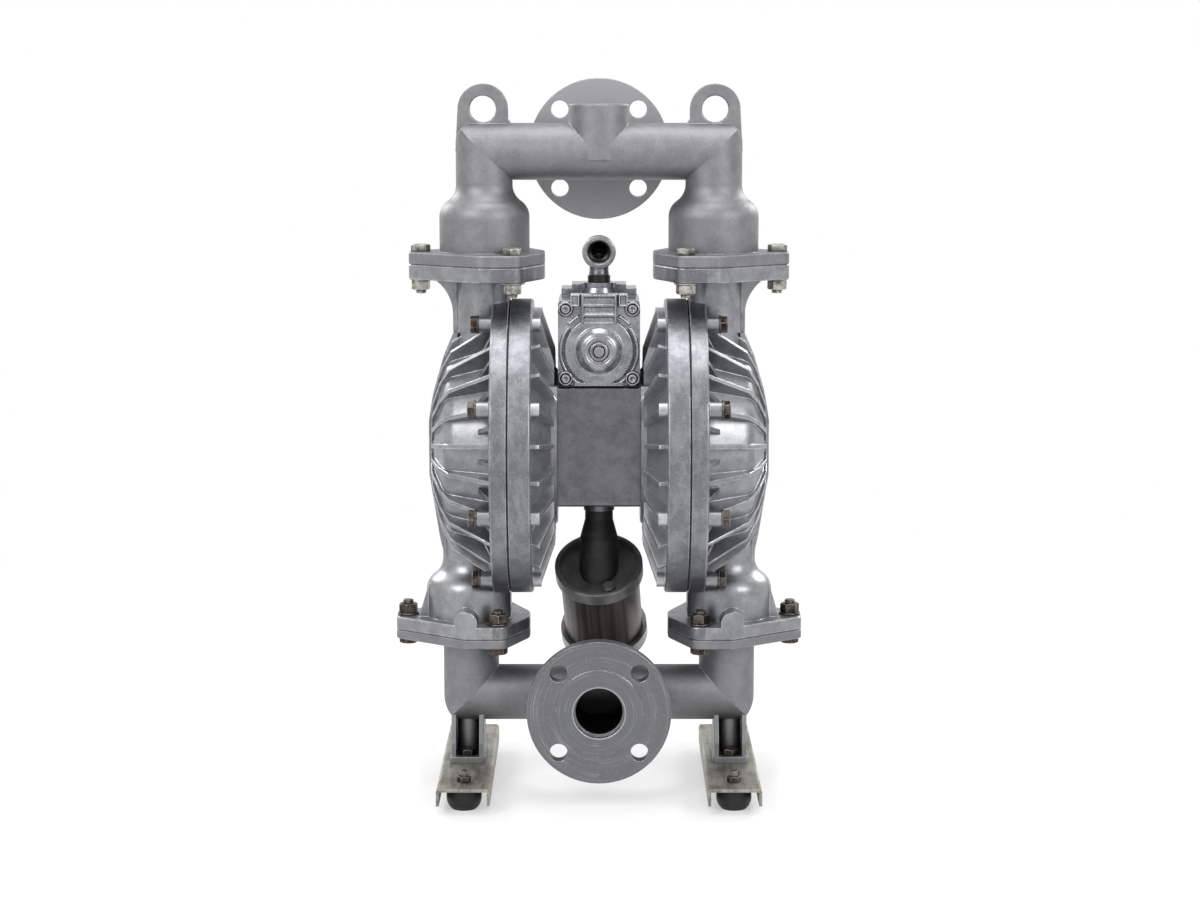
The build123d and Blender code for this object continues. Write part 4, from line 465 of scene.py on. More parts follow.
def platedZinc(name, look):
    look = {**platedSurface, **look}
    paint = Paint(name)
    stains = paint.grain(*look["stains"], paint.stretched(look["stretch"]))
    soft = paint.softEdge(look["edgeRadius"])
    colour = paint.stained(stains, paint.grain(*look["haze"]), look)
    # sharp edges are lightened: partly wear, partly painted highlight
    colour = paint.blend(paint.wear(soft) * look["wornShine"], colour, look["edge"])
    paint.set(
        # painted shade: corners and hollows darken towards a near-black colour
        Base_Color=paint.blend(paint.openness(look), look["grime"], colour), Metallic=look["metallic"],
        Roughness=look["roughness"] + look["stainRough"] * stains,
        Normal=paint.bump(paint.grain(*look["fine"]), look, soft),
    )
    return paint.material


turnedSurface = {  # what all the turned metal shares
    "rings": 9000.0, "wear": (90.0, 4.0, 0.6), "edgeRadius": 0.0004, "darker": 0.6, "reach": 0.006,
    "grimeOpen": (0.05, 0.6), "grimeShade": 0.12, "metallic": 0.95, "wearRough": 0.12,
    "ringHeight": 0.5, "bump": 0.00005, "bumpStrength": 0.4,
}
turnedLooks = {  # axis is the one that the cutter's rings follow
    "turnedRod": {"colour": (0.66, 0.66, 0.67), "roughness": 0.16, "axis": 0},
    "turnedSpool": {"colour": (0.6, 0.61, 0.64), "roughness": 0.2, "axis": 1},
    "turnedSeat": {"colour": (0.6, 0.6, 0.6), "roughness": 0.22, "axis": 2},
    "brightScrew": {"colour": (0.40, 0.40, 0.41), "roughness": 0.14, "axis": 1},
    "buttonSteel": {"colour": (0.34, 0.34, 0.35), "roughness": 0.24, "axis": 1},
    "agedBronze": {"colour": (0.50, 0.38, 0.20), "roughness": 0.3, "axis": 2},
    "darkFitting": {"colour": (0.045, 0.042, 0.04), "roughness": 0.36, "axis": 2},
}


def shaded(colour, share):
    return tuple(share * part for part in colour)


def turnedMetal(name, look):
    look = {**turnedSurface, **look}
    paint = Paint(name)
    along = paint.axes()[look["axis"]]
    rings = paint.node("ShaderNodeMath", {"operation": "SINE"}, {0: along * look["rings"]})
    wear = paint.grain(*look["wear"])
    soft = paint.softEdge(look["edgeRadius"])
    colour = paint.blend(wear, shaded(look["colour"], look["darker"]), look["colour"])
    # painted shade: corners and hollows take a darker copy of the colour
    colour = paint.blend(paint.openness(look), shaded(look["colour"], look["grimeShade"]), colour)
    paint.set(
        Base_Color=colour, Metallic=look["metallic"], Roughness=look["roughness"] + look["wearRough"] * wear,
        Normal=paint.bump(rings.mix(wear, look["ringHeight"]), look, soft),
    )
    return paint.material


rubberSurface = {
    "dust": (70.0, 5.0, 0.65), "dusty": (0.45, 0.75), "paler": 1.9, "haze": 0.008, "dustRough": 0.2,
    "skin": (1100.0, 2.0, 0.5), "bump": 0.00012, "bumpStrength": 0.4, "specular": 0.4,
}
rubberLooks = {
    "blackRubber": {"colour": (0.007, 0.007, 0.0075), "roughness": 0.42},
    "diaphragmRubber": {"colour": (0.014, 0.014, 0.015), "roughness": 0.55},
}


def dustyRubber(name, look):
    look = {**rubberSurface, **look}
    paint = Paint(name)
    dust = paint.grain(*look["dust"])
    paler = tuple(part * look["paler"] + look["haze"] for part in look["colour"])
    paint.set(
        Base_Color=paint.blend(paint.step(dust, *look["dusty"]), look["colour"], paler),
        Roughness=look["roughness"] + look["dustRough"] * dust, Specular_IOR_Level=look["specular"],
        Normal=paint.bump(paint.grain(*look["skin"]), look),
    )
    return paint.material


mufflerShell = {
    "dark": (0.040, 0.035, 0.033), "light": (0.120, 0.106, 0.099), "grime": (0.01, 0.01, 0.01),
    "lean": 35.0, "swing": 3.5, "stretch": (160.0, 160.0, 2.0), "streaks": (1.0, 3.0, 0.6),
    "broad": (14.0, 2.0, 0.5), "share": 0.75, "tone": (0.38, 0.62), "reach": 0.02,
    "grimeOpen": (0.1, 0.8), "metallic": 0.75, "roughness": 0.30, "streakRough": 0.15,
    "bump": 0.00006, "bumpStrength": 0.35,
}


def streakedShell(look):  # rolled sheet with streaks along the muffler's length
    paint = Paint("streakedShell")
    place = paint.place
    for axis, angle in (("X_AXIS", -look["lean"]), ("Y_AXIS", look["swing"])):
        values = {"Vector": place, "Angle": math.radians(angle)}
        place = paint.node("ShaderNodeVectorRotate", {"rotation_type": axis}, values)
    drawn = paint.node("ShaderNodeMapping", values={"Vector": place, "Scale": look["stretch"]})
    streaks = paint.grain(*look["streaks"], drawn)
    colour = paint.stained(streaks, paint.grain(*look["broad"]), look)
    paint.set(
        # painted shade: corners and hollows darken towards a near-black colour
        Base_Color=paint.blend(paint.openness(look), look["grime"], colour), Metallic=look["metallic"],
        Roughness=look["roughness"] + look["streakRough"] * streaks, Normal=paint.bump(streaks, look),
    )
    return paint.material


mufflerFelt = {
    "fibres": (900.0, 4.0, 0.8), "dark": (0.55, 0.53, 0.48), "light": (0.82, 0.81, 0.78),
    "roughness": 0.95, "bump": 0.0004, "bumpStrength": 0.8,
}


def porousFelt(look):
    paint = Paint("porousFelt")
    fibres = paint.grain(*look["fibres"])
    colour = paint.blend(fibres, look["dark"], look["light"])
    paint.set(Base_Color=colour, Roughness=look["roughness"], Normal=paint.bump(fibres, look))
    return paint.material


portMetal = {
    name: castMetal("cast" + name.title(), sandCast, port=port, bore={**portBore, **port})
    for name, port in ports.items()
}
capMetal = castMetal("dieCastRelief", valveCast, relief=True)
elbowMetal = castMetal("castElbow", elbowCast, bore=inletBore)
agedPlate = platedZinc("agedZinc", agedZinc)
palePlate = platedZinc("paleZinc", paleZinc)
turned = {name: turnedMetal(name, look) for name, look in turnedLooks.items()}
rubber = {name: dustyRubber(name, look) for name, look in rubberLooks.items()}

finishes = [  # each material and the solids that show it
    (castMetal("castChamber", chamberCast, rim=clampRim), ["fluid_chamber_left", "fluid_chamber_right"]),
    (castMetal("castAirChamber", airCast, rim=clampRim), ["air_chamber_left", "air_chamber_right"]),
    (castMetal("castBody", bodyCast), ["centre_body"]),
    (castMetal("dieCastValve", valveCast), ["valve_body"]),
    (castMetal("castMufflerCap", mufflerCast), ["muffler_cap_top", "muffler_cap_bottom"]),
    (portMetal["suction"], ["suction_manifold"]),
    (portMetal["discharge"], ["discharge_manifold"]),
    (platedZinc("railZinc", railZinc), ["base_rail_left", "base_rail_right"]),
    (streakedShell(mufflerShell), ["muffler_shell"]),
    (porousFelt(mufflerFelt), ["muffler_element"]),
    (turned["turnedSpool"], ["main_spool", "spool_sleeve"]),
    (turned["turnedSeat"], ["ball_seats_lower", "ball_seats_upper", "air_chamber_screws", "muffler_screws"]),
    (turned["buttonSteel"], ["reset_button"]),
    (turned["darkFitting"], ["inlet_bushing"]),
    (turned["agedBronze"], ["rod_bushings"]),
    (turned["turnedRod"], [
        "centre_rod", "pilot_rod", "pilot_sleeve", "inner_clamp_discs", "outer_clamp_discs", "rod_end_nuts",
    ]),
    (rubber["blackRubber"], [
        "rubber_feet", "exhaust_boot", "valve_gasket", "rod_seals", "seat_rings_lower", "seat_rings_upper",
        "check_ball_lower_left", "check_ball_lower_right", "check_ball_upper_left", "check_ball_upper_right",
    ]),
]


def dress(solid, material):
    if not solid.data.materials:
        solid.data.materials.append(material)
    for slot in solid.material_slots:
        slot.material = material


for material, names in finishes:
    for name in names:
        dress(solids[name], material)
print("dressed", sum(len(names) for _, names in finishes), "solids")


def pieceName(node):  # valve_cap_front becomes valveCapFront
    first, *others = node.split("_")
    return first + "".join(word.title() for word in others)


def addPiece(mesh, node, material, crease):  # smooth, with a crease above so many degrees
    for face in mesh.polygons:
        face.use_smooth = True
    mesh.set_sharp_from_angle(angle=math.radians(crease))
    mesh.materials.append(material)
    piece = addObject(mesh.name, mesh)
    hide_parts(node)
    return piece


turning = {  # how bolts, nuts, studs and washers are turned, with round chamfers and real threads
    "points": 48, "ringsPerTurn": 6, "crease": 32, "weld": 0.000001,
    "chamferSlope": math.tan(math.radians(30)), "chamferShare": 0.96, "chamferDrop": 1.0,
    "threadDepth": 0.48, "endDepth": 0.7, "endLength": 0.4, "runOut": 0.4,
    "headFoot": 0.3, "headFootShare": 0.98, "dish": (0.74, 0.68), "dishDepth": 0.35,
    "nutMouth": 0.9, "washerEdge": 0.4,
    "socketFoot": 0.3, "socketShoulder": 1.0, "socketMouth": (0.3, 0.2), "socketTip": (0.4, 0.8),
}
ringAngles = [2 * math.pi * index / turning["points"] for index in range(turning["points"])]


def circle(radius, height):
    return [(radius * math.cos(a), radius * math.sin(a), height) for a in ringAngles]


def hexagon(flats, height, drop=0.0):  # drop bends its corners down, or up if negative
    inner = flats / 2 * turning["chamferShare"]
    ring = []
    for a in ringAngles:
        radius = flats / 2 / math.cos(a % math.radians(60) - math.radians(30))
        level = height - drop * (radius - inner) * turning["chamferSlope"]
        ring.append((radius * math.cos(a), radius * math.sin(a), level))
    return ring


def thread(radius, low, high, pitch):
    rings = []
    count = max(2, round((high - low) / pitch * turning["ringsPerTurn"]))
    depth = pitch * turning["threadDepth"]
    for row in range(count + 1):
        height = low + (high - low) * row / count
        ring = []
        for a in ringAngles:
            turn = (height / pitch - a / (2 * math.pi)) % 1.0
            at = radius - depth * abs(2 * turn - 1)
            ring.append((at * math.cos(a), at * math.sin(a), height))
        rings.append(ring)
    return rings


class TurnedPiece:  # gathers the rings of all the copies that make one piece
    def __init__(self):
        self.points = []
        self.faces = []

    def skin(self, rings, place, closed=False):
        first = len(self.points)
        size = turning["points"]
        for ring in rings:
            self.points.extend(place @ (mm * Vector(point)) for point in ring)
        rows = len(rings) if closed else len(rings) - 1
        for row in range(rows):
            low = first + row * size
            high = first + (row + 1) % len(rings) * size
            for index in range(size):
                after = (index + 1) % size
                self.faces.append((low + index, low + after, high + after, high + index))
        if not closed:
            self.faces.append(tuple(first + index for index in reversed(range(size))))
            last = first + (len(rings) - 1) * size
            self.faces.append(tuple(last + index for index in range(size)))

    def bolt(self, place, size, length, threaded):  # the head stands on the place, the shank goes down
        radius, flats, head, pitch = size["shank"], size["flats"], size["head"], size["pitch"]
        top = flats / 2 * turning["chamferShare"]
        wide, narrow = turning["dish"]
        end = -length + threaded
        rings = [circle(radius - pitch * turning["endDepth"], -length)]
        rings += thread(radius, -length + pitch * turning["endLength"], end, pitch)
        rings += [circle(radius, end + turning["runOut"]), circle(radius, 0)]
        rings += [hexagon(flats * turning["headFootShare"], 0), hexagon(flats, turning["headFoot"])]
        rings += [hexagon(flats, head, turning["chamferDrop"]), circle(top, head)]
        rings += [circle(top * wide, head), circle(top * narrow, head - turning["dishDepth"])]
        self.skin(rings, place)

    def nut(self, place, size, height):
        radius, flats, mouth = size["shank"], size["flats"], turning["nutMouth"]
        face, drop = flats / 2 * turning["chamferShare"], turning["chamferDrop"]
        rings = [circle(face, 0), hexagon(flats, 0, -drop), hexagon(flats, height, drop)]
        rings += [circle(face, height), circle(radius + mouth, height), circle(radius, height - mouth)]
        rings += [circle(radius, mouth), circle(radius + mouth, 0)]
        self.skin(rings, place, closed=True)

    def socketScrew(self, place, size):
        shank, radius, head, flats = size["shank"], size["headRadius"], size["head"], size["socket"]
        foot, shoulder = turning["socketFoot"], turning["socketShoulder"]
        flare, flareDepth = turning["socketMouth"]
        tip, tipDepth = turning["socketTip"]
        bottom = head - size["deep"]
        rings = [circle(shank, -size["length"]), circle(shank, 0), circle(radius - foot, 0)]
        rings += [circle(radius, foot), circle(radius, head - shoulder)]
        rings += [circle(radius - foot, head - foot), circle(radius - shoulder, head)]
        rings += [hexagon(flats + flare, head), hexagon(flats, head - flareDepth)]
        rings += [hexagon(flats, bottom), circle(tip, bottom - tipDepth)]
        self.skin(rings, place)

    def stud(self, place, size, length):
        radius, pitch = size["shank"], size["pitch"]
        end, lead = radius - pitch * turning["endDepth"], pitch * turning["endLength"]
        rings = [circle(end, 0), *thread(radius, lead, length - lead, pitch)]
        self.skin(rings + [circle(end, length)], place)

    def washer(self, place, size):
        inner, outer, thick, edge = size["shank"], size["washer"], size["thick"], turning["washerEdge"]
        rings = [circle(outer - edge, 0), circle(outer, edge), circle(outer, thick - edge)]
        rings += [circle(outer - edge, thick), circle(inner, thick), circle(inner, 0)]
        self.skin(rings, place, closed=True)

    def make(self, node, material, slot="zinc_yellow"):
        mesh = bpy.data.meshes.new(pieceName(node))
        mesh.from_pydata(self.points, [], self.faces)
        skin = bmesh.new()
        skin.from_mesh(mesh)
        bmesh.ops.remove_doubles(skin, verts=skin.verts, dist=turning["weld"])
        bmesh.ops.recalc_face_normals(skin, faces=skin.faces)
        skin.to_mesh(mesh)
        skin.free()
        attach(addPiece(mesh, node, material, turning["crease"]), "housing")


def standing(x, y, z, direction=(0, 0, 1), twist=0.0):
    aimed = Vector((0, 0, 1)).rotation_difference(Vector(direction)).to_matrix().to_4x4()
    twisted = Matrix.Rotation(math.radians(twist), 4, "Z")
    return Matrix.Translation((x * mm, y * mm, z * mm)) @ aimed @ twisted


bigBolt = {"flats": 18, "head": 7.5, "nut": 10, "shank": 6, "pitch": 1.75, "washer": 11.5, "thick": 2}
clampBolt = {"flats": 16, "head": 7, "nut": 8, "shank": 5, "pitch": 1.5, "washer": 9.8, "thick": 2}
footNut = {"flats": 13, "nut": 6.5, "shank": 4, "pitch": 1.25}
jointShape = {
    "outboard": 68, "inboard": 31, "half": 58.5, "threaded": 16, "nutTwist": 13,
    "twists": [8, 41, 23, 52, 17, 34],
}
jointLevels = {
    "upper": {
        "port": 121.5, "headZ": 578.5, "up": 1, "washerZ": 548, "nutZ": 538, "length": 44.5,
        "metal": palePlate,
    },
    "lower": {
        "port": 138.4, "headZ": 162, "up": -1, "washerZ": 186, "nutZ": 188, "length": 40,
        "metal": agedPlate,
    },
}


def jointSpots(port):  # three bolts round each of a level's two ports
    out, near, half = port + jointShape["outboard"], port - jointShape["inboard"], jointShape["half"]
    return [(side * x, y) for side in (-1, 1) for x, y in ((out, 0), (near, half), (near, -half))]


def makeJoint(level, look):
    bolts, nuts, washers = TurnedPiece(), TurnedPiece(), TurnedPiece()
    for twist, (x, y) in zip(jointShape["twists"], jointSpots(look["port"])):
        head = standing(x, y, look["headZ"], (0, 0, look["up"]), twist)
        bolts.bolt(head, bigBolt, look["length"], jointShape["threaded"])
        nuts.nut(standing(x, y, look["nutZ"], twist=twist + jointShape["nutTwist"]), bigBolt, bigBolt["nut"])
        washers.washer(standing(x, y, look["washerZ"]), bigBolt)
    bolts.make(level + "_joint_bolts", look["metal"])
    nuts.make(level + "_joint_nuts", look["metal"])
    washers.make(level + "_joint_washers", look["metal"])


clampShape = {
    "count": 8, "circle": 147, "axisZ": 370, "washerX": 125.6, "length": 54.6, "threaded": 6, "twist": 37,
}


def makeClampBolts(hand, side):
    look = clampShape
    bolts, washers = TurnedPiece(), TurnedPiece()
    for number in range(look["count"]):
        angle = 2 * math.pi * (number + 0.5) / look["count"]
        y = look["circle"] * math.cos(angle)
        z = look["axisZ"] + look["circle"] * math.sin(angle)
        seat = look["washerX"] + clampBolt["thick"]
        washers.washer(standing(hand * look["washerX"], y, z, (hand, 0, 0)), clampBolt)
        head = standing(hand * seat, y, z, (hand, 0, 0), number * look["twist"])
        bolts.bolt(head, clampBolt, look["length"], look["threaded"])
    bolts.make("clamp_bolts_" + side, agedPlate)
    washers.make("clamp_washers_" + side, agedPlate)


railShape = {
    "x": 142, "boltY": 23, "headZ": 35, "length": 20, "threaded": 8, "nutZ": 17,
    "footY": 108, "studZ": 17, "stud": 23.5, "footNutZ": 28,
    "boltTwist": 21, "nutTwist": 33, "footTwist": 25, "footStart": 10,
}


def makeRailBolts():
    look = railShape
    bolts, nuts, studs, footNuts = TurnedPiece(), TurnedPiece(), TurnedPiece(), TurnedPiece()
    for number, (side, end) in enumerate([(a, b) for a in (-1, 1) for b in (-1, 1)]):
        x, y, footY = side * look["x"], end * look["boltY"], end * look["footY"]
        head = standing(x, y, look["headZ"], twist=number * look["boltTwist"])
        bolts.bolt(head, clampBolt, look["length"], look["threaded"])
        nuts.nut(standing(x, y, look["nutZ"], twist=number * look["nutTwist"]), clampBolt, clampBolt["nut"])
        studs.stud(standing(x, footY, look["studZ"]), footNut, look["stud"])
        twist = number * look["footTwist"] + look["footStart"]
        footNuts.nut(standing(x, footY, look["footNutZ"], twist=twist), footNut, footNut["nut"])
    bolts.make("rail_bolts", agedPlate)
    nuts.make("rail_nuts", agedPlate)
    studs.make("foot_studs", agedPlate)
    footNuts.make("foot_nuts", agedPlate)


for level, look in jointLevels.items():
    makeJoint(level, look)
makeClampBolts(-1, "left")
makeClampBolts(1, "right")
makeRailBolts()
print("made the bolts, nuts, studs and washers")


# The valve's caps have a cast relief over each end. Levels are measured out from the flat face,
# x and z from the button's middle. Pairs and longer rows give where a form starts and ends.
capShape = {
    "halfX": 43.0, "low": -36.5, "high": 51.5, "corner": 9.0, "back": -14.0, "faceY": 60.0, "centreZ": 478.5,
    "cell": 0.5, "margin": 2, "below": 1, "skip": 0.75, "snap": 0.5, "probe": 0.05, "crease": 75,
    "fine": 0.8, "smooth": 0.9, "plain": 1.0, "round": 1.1, "broad": 1.2,
    "screwX": 35.0, "screwZ": (-29.0, 44.0), "lobe": 7.5, "lobeRise": 2.2, "lobeClear": 8.1,
    "well": 5.4, "wellFloor": 4.9,
    "plateau": 36.0, "plateauRise": 2.0, "plateauEdge": 1.6, "pocket": -1.6, "gutter": (36.4, 38.4, -0.8),
    "rim": (38.8, 41.6), "rimRise": 2.2, "rimEnds": 37.0, "arc": (41.0, 43.4), "arcRise": 2.75,
    "arcEnds": (41.0, 60.0), "perDegree": 0.7, "endEdge": 1.4,
    "dome": (24.8, 15.8), "domeRise": 8.0, "domeCurve": 1.25, "hub": 9.6, "hubRise": 9.5,
    "beads": [(24.9, 25.9, 0.6), (14.2, 15.4, 0.6), (9.8, 10.8, -0.9)],
    "hole": 6.5, "holeFloor": 1.8, "stem": 3.75,
    "panel": (18.4, 29.6, 59.6), "panelCorner": 0.6, "panelBar": 2.6, "panelRise": 4.0, "panelFloor": 0.7,
    "louvre": 10.3, "louvreRise": 2.6,
    "ear": (20.4, 30.0, 46.6, 59.4), "earCorner": 1.6, "earRise": 2.0, "earWall": 1.7, "earFloor": 0.2,
    "ledge": (-41.5, -33.4, 26.0), "ledgeCorner": 1.0, "ledgeRise": 1.3,
}


def inside(distance, width):  # 1 well inside an outline, 0 outside it, smooth across its edge
    part = min(1.0, max(0.0, 0.5 - distance / width))
    return part * part * (3 - 2 * part)


def between(distance, low, high, width):  # 1 from low to high, 0 outside
    return inside(abs(distance - (low + high) / 2) - (high - low) / 2, width)


def fromBox(x, z, lowX, highX, lowZ, highZ, corner):  # below 0 inside the box
    outX = abs(x - (lowX + highX) / 2) - (highX - lowX) / 2 + corner
    outZ = abs(z - (lowZ + highZ) / 2) - (highZ - lowZ) / 2 + corner
    return math.hypot(max(outX, 0), max(outZ, 0)) + min(max(outX, outZ), 0) - corner


def fromScrews(x, z):
    return min(math.hypot(abs(x) - capShape["screwX"], z - height) for height in capShape["screwZ"])


def fromPanel(x, z):
    half, low, high = capShape["panel"]
    return fromBox(x, z, -half, half, low, high, capShape["panelCorner"])


def capOutline(x, z, front):  # below 0 inside the cap's outline
    look = capShape
    half, low, high = look["halfX"], look["low"], look["high"]
    away = min(fromBox(x, z, -half, half, low, high, look["corner"]), fromScrews(x, z) - look["lobe"])
    if front:
        _, earOut, earLow, earHigh = look["ear"]
        ears = fromBox(x, z, -earOut, earOut, earLow, earHigh, look["earCorner"])
        away = max(min(away, fromPanel(x, z), ears), look["stem"] - math.hypot(x, z))
    return max(away, low - z)


def capDome(out, front):
    look = capShape
    if front and out < look["hole"]:
        return look["holeFloor"]
    foot, top = look["dome"]
    share = min(1.0, max(0.0, (foot - out) / (foot - top)))
    rise = math.sin(share * math.pi / 2) ** look["domeCurve"]
    level = look["plateauRise"] + (look["domeRise"] - look["plateauRise"]) * rise
    level += sum(rise * between(out, low, high, look["smooth"]) for low, high, rise in look["beads"])
    return level + (look["hubRise"] - look["domeRise"]) * inside(out - look["hub"], look["smooth"])


def capPanel(x, z, level):  # the framed panel with its louvres
    look = capShape
    half, low, high = look["panel"]
    bar, pitch = look["panelBar"], look["louvre"]
    wave = 0.5 + 0.5 * math.cos(2 * math.pi * (z - low - pitch / 2 - bar) / pitch)
    floor = look["panelFloor"] + look["louvreRise"] * wave ** 2
    frame = max(between(abs(x), half - bar, half, look["fine"]), between(z, high - bar, high, look["fine"]))
    floor += (look["panelRise"] - floor) * frame
    return level + (floor - level) * inside(fromPanel(x, z), look["fine"])


def capArcs(x, z, out, clear, level):  # the outer arcs and the two ears of the front cap
    look = capShape
    angle = math.degrees(math.atan2(z, abs(x)))
    first, last = look["arcEnds"]
    ends = inside((abs(angle - (first + last) / 2) - (last - first) / 2) * look["perDegree"], look["endEdge"])
    level += (look["arcRise"] - level) * between(out, *look["arc"], look["round"]) * ends * clear
    ear = fromBox(abs(x), z, *look["ear"], look["earCorner"])
    level += (look["earFloor"] - level) * inside(ear, look["plain"])
    return level + (look["earRise"] - level) * between(ear, -look["earWall"], 0, look["fine"])


def capLevel(x, z, front):  # how far the cast face stands out at a place
    look = capShape
    out, screw = math.hypot(x, z), fromScrews(x, z)
    clear = 1 - inside(screw - look["lobeClear"], look["broad"])
    level = look["pocket"] * clear * (1 - inside(out - look["rim"][1], look["broad"]))
    low, high, rise = look["gutter"]
    level += rise * between(out, low, high, look["broad"]) * clear
    if out < look["plateau"] + 1:
        level = max(level, capDome(out, front) * inside(out - look["plateau"], look["plateauEdge"]))
    shown = 1.0
    if front:
        past = math.degrees(math.atan2(z, abs(x))) - look["rimEnds"]
        shown = inside(past * look["perDegree"], look["endEdge"])
    level += (look["rimRise"] - level) * between(out, *look["rim"], look["round"]) * clear * shown
    if front:
        level = capPanel(x, z, capArcs(x, z, out, clear, level))
    ledgeLow, ledgeHigh, half = look["ledge"]
    ledge = fromBox(x, z, -half, half, ledgeLow, ledgeHigh, look["ledgeCorner"])
    level += (look["ledgeRise"] - level) * inside(ledge, look["plain"])
    level += (look["lobeRise"] - level) * between(screw, look["well"], look["lobe"], look["smooth"])
    return level * (1 - inside(screw - look["wellFloor"], look["fine"]))


def capGrid(cast, side, front):  # the relief as a fine grid that ends on the cap's outline
    look = capShape
    cell, probe = look["cell"], look["probe"]
    grid = {}
    for column in range(round(2 * (look["halfX"] + look["margin"]) / cell) + 1):
        for row in range(round((look["panel"][2] - look["low"] + look["margin"]) / cell) + 1):
            x = -look["halfX"] - look["margin"] + column * cell
            z = look["low"] - look["below"] + row * cell
            away = capOutline(x, z, front)
            if away > cell * look["skip"]:
                continue
            if away > -cell * look["snap"]:  # a point beside the outline moves onto it
                stepX = capOutline(x + probe, z, front) - capOutline(x - probe, z, front)
                stepZ = capOutline(x, z + probe, front) - capOutline(x, z - probe, front)
                size = math.hypot(stepX, stepZ) or 1.0
                x, z = x - away * stepX / size, z - away * stepZ / size
            y = side * (look["faceY"] + capLevel(x, z, front))
            grid[column, row] = cast.verts.new((x * mm, y * mm, (look["centreZ"] + z) * mm))
    for (column, row), corner in list(grid.items()):
        others = [grid.get(key) for key in ((column + 1, row), (column + 1, row + 1), (column, row + 1))]
        if all(others):
            cast.faces.new([corner] + others)
    loose = [vert for vert in cast.verts if not vert.link_faces]
    bmesh.ops.delete(cast, geom=loose, context="VERTS")


def sculptCap(node, front):
    side = -1 if front else 1
    cast = bmesh.new()
    capGrid(cast, side, front)
    border = [edge for edge in cast.edges if edge.is_boundary]
    walls = bmesh.ops.extrude_edge_only(cast, edges=border)["geom"]
    for vert in walls:
        if isinstance(vert, bmesh.types.BMVert):
            vert.co.y = side * (capShape["faceY"] + capShape["back"]) * mm
    rear = [edge for edge in walls if isinstance(edge, bmesh.types.BMEdge) and edge.is_boundary]
    bmesh.ops.triangle_fill(cast, use_beauty=True, edges=rear)
    bmesh.ops.recalc_face_normals(cast, faces=cast.faces)
    mesh = bpy.data.meshes.new(pieceName(node))
    cast.to_mesh(mesh)
    cast.free()
    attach(addPiece(mesh, node, capMetal, capShape["crease"]), "housing")


capScrew = {
    "shank": 2.5, "length": 26.0, "headRadius": 4.6, "head": 4.5, "socket": 4.2, "deep": 3.0, "twist": 17,
}


def makeCapScrews():
    screws = TurnedPiece()
    spots = [(hand * capShape["screwX"], height) for hand in (-1, 1) for height in capShape["screwZ"]]
    for side in (-1, 1):
        for number, (x, height) in enumerate(spots):
            y, z = side * capShape["faceY"], capShape["centreZ"] + height
            screws.socketScrew(standing(x, y, z, (0, side, 0), number * capScrew["twist"]), capScrew)
    screws.make("valve_cap_screws", turned["brightScrew"], "steel")


sculptCap("valve_cap_front", True)
sculptCap("valve_cap_rear", False)
makeCapScrews()
print("sculpted the valve's caps and made their screws")


elbowShape = {  # rows of (distance along the path, radius) for one bent casting with a threaded mouth
    "foot": 553.0, "bend": 15.0, "height": 579.5, "threadPitch": 1.8, "threadDepth": 0.9,
    "outside": [
        (0.0, 9.8), (0.5, 10.6), (2.8, 10.7), (4.2, 10.2), (11.0, 10.3), (17.0, 11.0), (23.0, 12.2),
        (29.0, 13.3), (35.0, 14.0), (39.0, 14.6), (40.4, 15.4), (41.2, 16.6), (42.0, 17.4), (43.0, 17.7),
        (48.6, 17.7), (49.6, 17.3), (50.06, 16.5),
    ],
    "mouth": [(50.06, 13.4), (49.4, 12.4), (48.4, 11.8)],
    "way": [(36.0, 11.0), (34.0, 8.0), (20.0, 7.0), (0.0, 7.0)],
}


def elbowRing(along, radius):  # a ring square to the elbow's path
    foot, bend = elbowShape["foot"], elbowShape["bend"]
    rise = elbowShape["height"] - bend - foot
    angle = min(math.pi / 2, max(0.0, (along - rise) / bend))
    y = -bend * (1 - math.cos(angle)) - max(0.0, along - rise - bend * math.pi / 2)
    z = foot + min(along, rise) + bend * math.sin(angle)
    ring = []
    for turn in ringAngles:
        level = radius * math.sin(turn)
        ring.append((radius * math.cos(turn), y + level * math.cos(angle), z + level * math.sin(angle)))
    return ring


def elbowStations():  # up the outside, round the mouth, down the thread and the way
    look = elbowShape
    pitch = look["threadPitch"]
    start, crest = look["mouth"][-1]
    stations = look["outside"] + look["mouth"]
    for number in range(round((start - look["way"][0][0]) / pitch)):
        along = start - pitch * number
        stations += [(along, crest), (along - pitch / 2, crest - look["threadDepth"])]
    return stations + look["way"]


elbow = TurnedPiece()
elbow.skin([elbowRing(along, radius) for along, radius in elbowStations()], Matrix(), closed=True)
elbow.make("inlet_elbow", elbowMetal, "stainless")
print("made the inlet elbow")


# The diaphragms are rubber sheets between the clamped rim and the rod, built here in one fixed shape with a
# moulded fold.
diaphragmShape = {
    "axisZ": 370.0, "plane": 94.0, "halfThick": 1.0, "fold": (64.0, 112.0), "foldDepth": 9.0,
    "boltCircle": 147.0, "boltHole": 5.5, "sectors": 16, "steps": 4, "moving": 56.0, "still": 108.0,
    "crease": 40,
    "radii": [
        8, 20, 32, 44, 56, 64, 66, 69, 73, 78, 83, 88, 93, 98, 103, 107, 110, 112, 120, 131,
        141.5, 142.6, 144.2, 147, 149.8, 151.4, 152.5, 156,
    ],
}


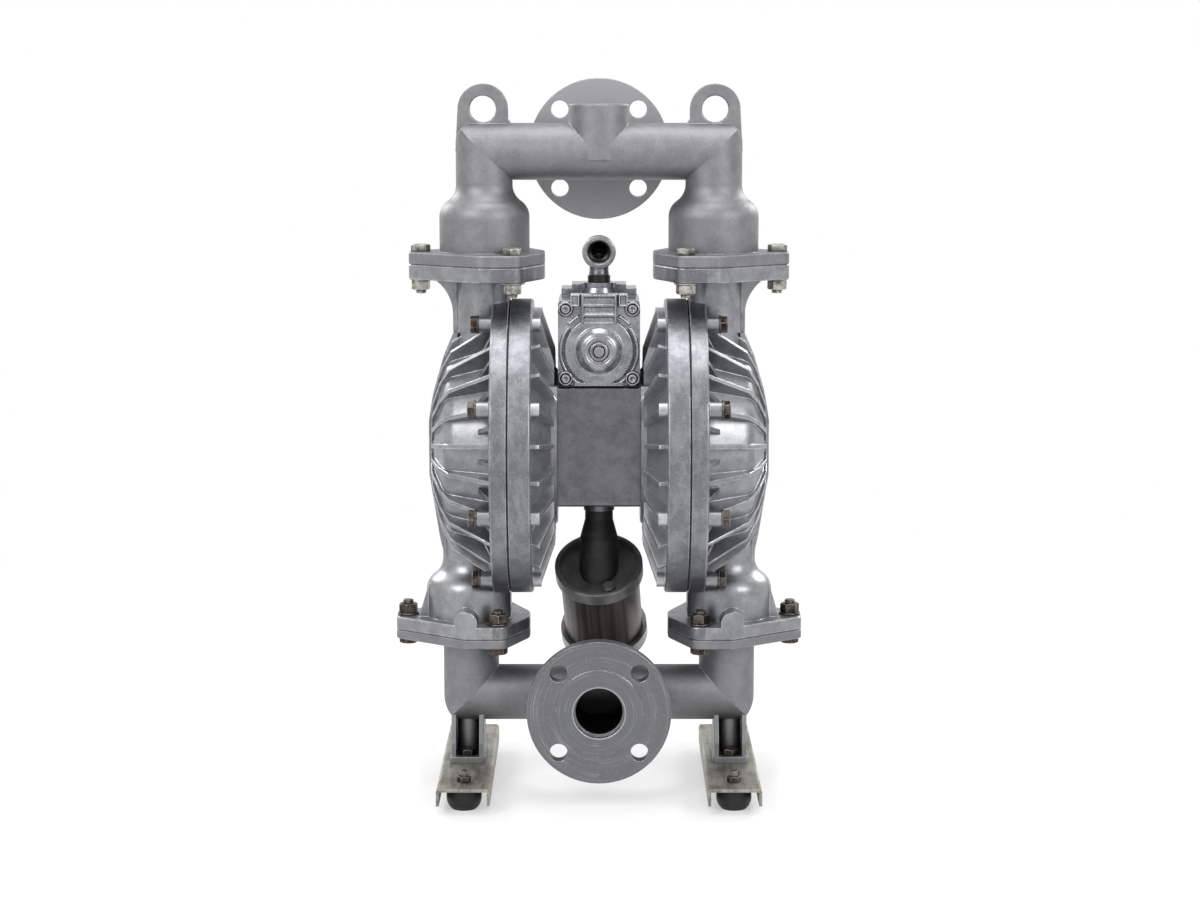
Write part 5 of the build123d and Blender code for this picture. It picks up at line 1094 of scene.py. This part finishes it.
def foldAt(radius):  # how far the moulded fold dips towards the centre body
    low, high = diaphragmShape["fold"]
    half, depth = (high - low) / 2, diaphragmShape["foldDepth"]
    if not low < radius < high:
        return 0.0
    bend = (half * half + depth * depth) / (2 * depth)
    return math.sqrt(bend * bend - (radius - (low + high) / 2) ** 2) - (bend - depth)


def diaphragmRow(sheet, hand, number, radius, lift):  # one arc of a sector, notched round the bolt holes
    look = diaphragmShape
    wide = 2 * math.pi / look["sectors"]
    notch = max(0.0, look["boltHole"] ** 2 - (radius - look["boltCircle"]) ** 2) ** 0.5 / radius
    first = number * wide + (notch if number % 2 else 0.0)
    last = (number + 1) * wide - (0.0 if number % 2 else notch)
    x = hand * (look["plane"] + lift - foldAt(radius))
    row = []
    for step in range(look["steps"] + 1):
        angle = first + (last - first) * step / look["steps"]
        y, z = radius * math.cos(angle), look["axisZ"] + radius * math.sin(angle)
        row.append(sheet.verts.new(Vector((x, y, z)) * mm))
    return row


def diaphragmSector(hand, side, number):
    look = diaphragmShape
    count, steps, half = len(look["radii"]), look["steps"], look["halfThick"]
    sheet = bmesh.new()
    below, above = [
        [diaphragmRow(sheet, hand, number, radius, lift) for radius in look["radii"]]
        for lift in (-half, half)
    ]
    for layer in (below, above):
        for near, far in zip(layer, layer[1:]):
            for step in range(steps):
                sheet.faces.new((near[step], near[step + 1], far[step + 1], far[step]))
    for index in (0, count - 1):
        low, high = below[index], above[index]
        for step in range(steps):
            sheet.faces.new((low[step], low[step + 1], high[step + 1], high[step]))
    for step in (0, steps):
        for index in range(count - 1):
            low, high = below[index:index + 2], above[index:index + 2]
            sheet.faces.new((low[0][step], low[1][step], high[1][step], high[0][step]))
    bmesh.ops.recalc_face_normals(sheet, faces=sheet.faces)
    node = "diaphragm_" + side
    mesh = bpy.data.meshes.new(f"{pieceName(node)}{number + 1:02d}")
    sheet.to_mesh(mesh)
    sheet.free()
    piece = addPiece(mesh, node, rubber["diaphragmRubber"], look["crease"])
    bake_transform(piece)


for hand, side in ((-1, "left"), (1, "right")):
    for number in range(diaphragmShape["sectors"]):
        diaphragmSector(hand, side, number)
print("made the diaphragms")
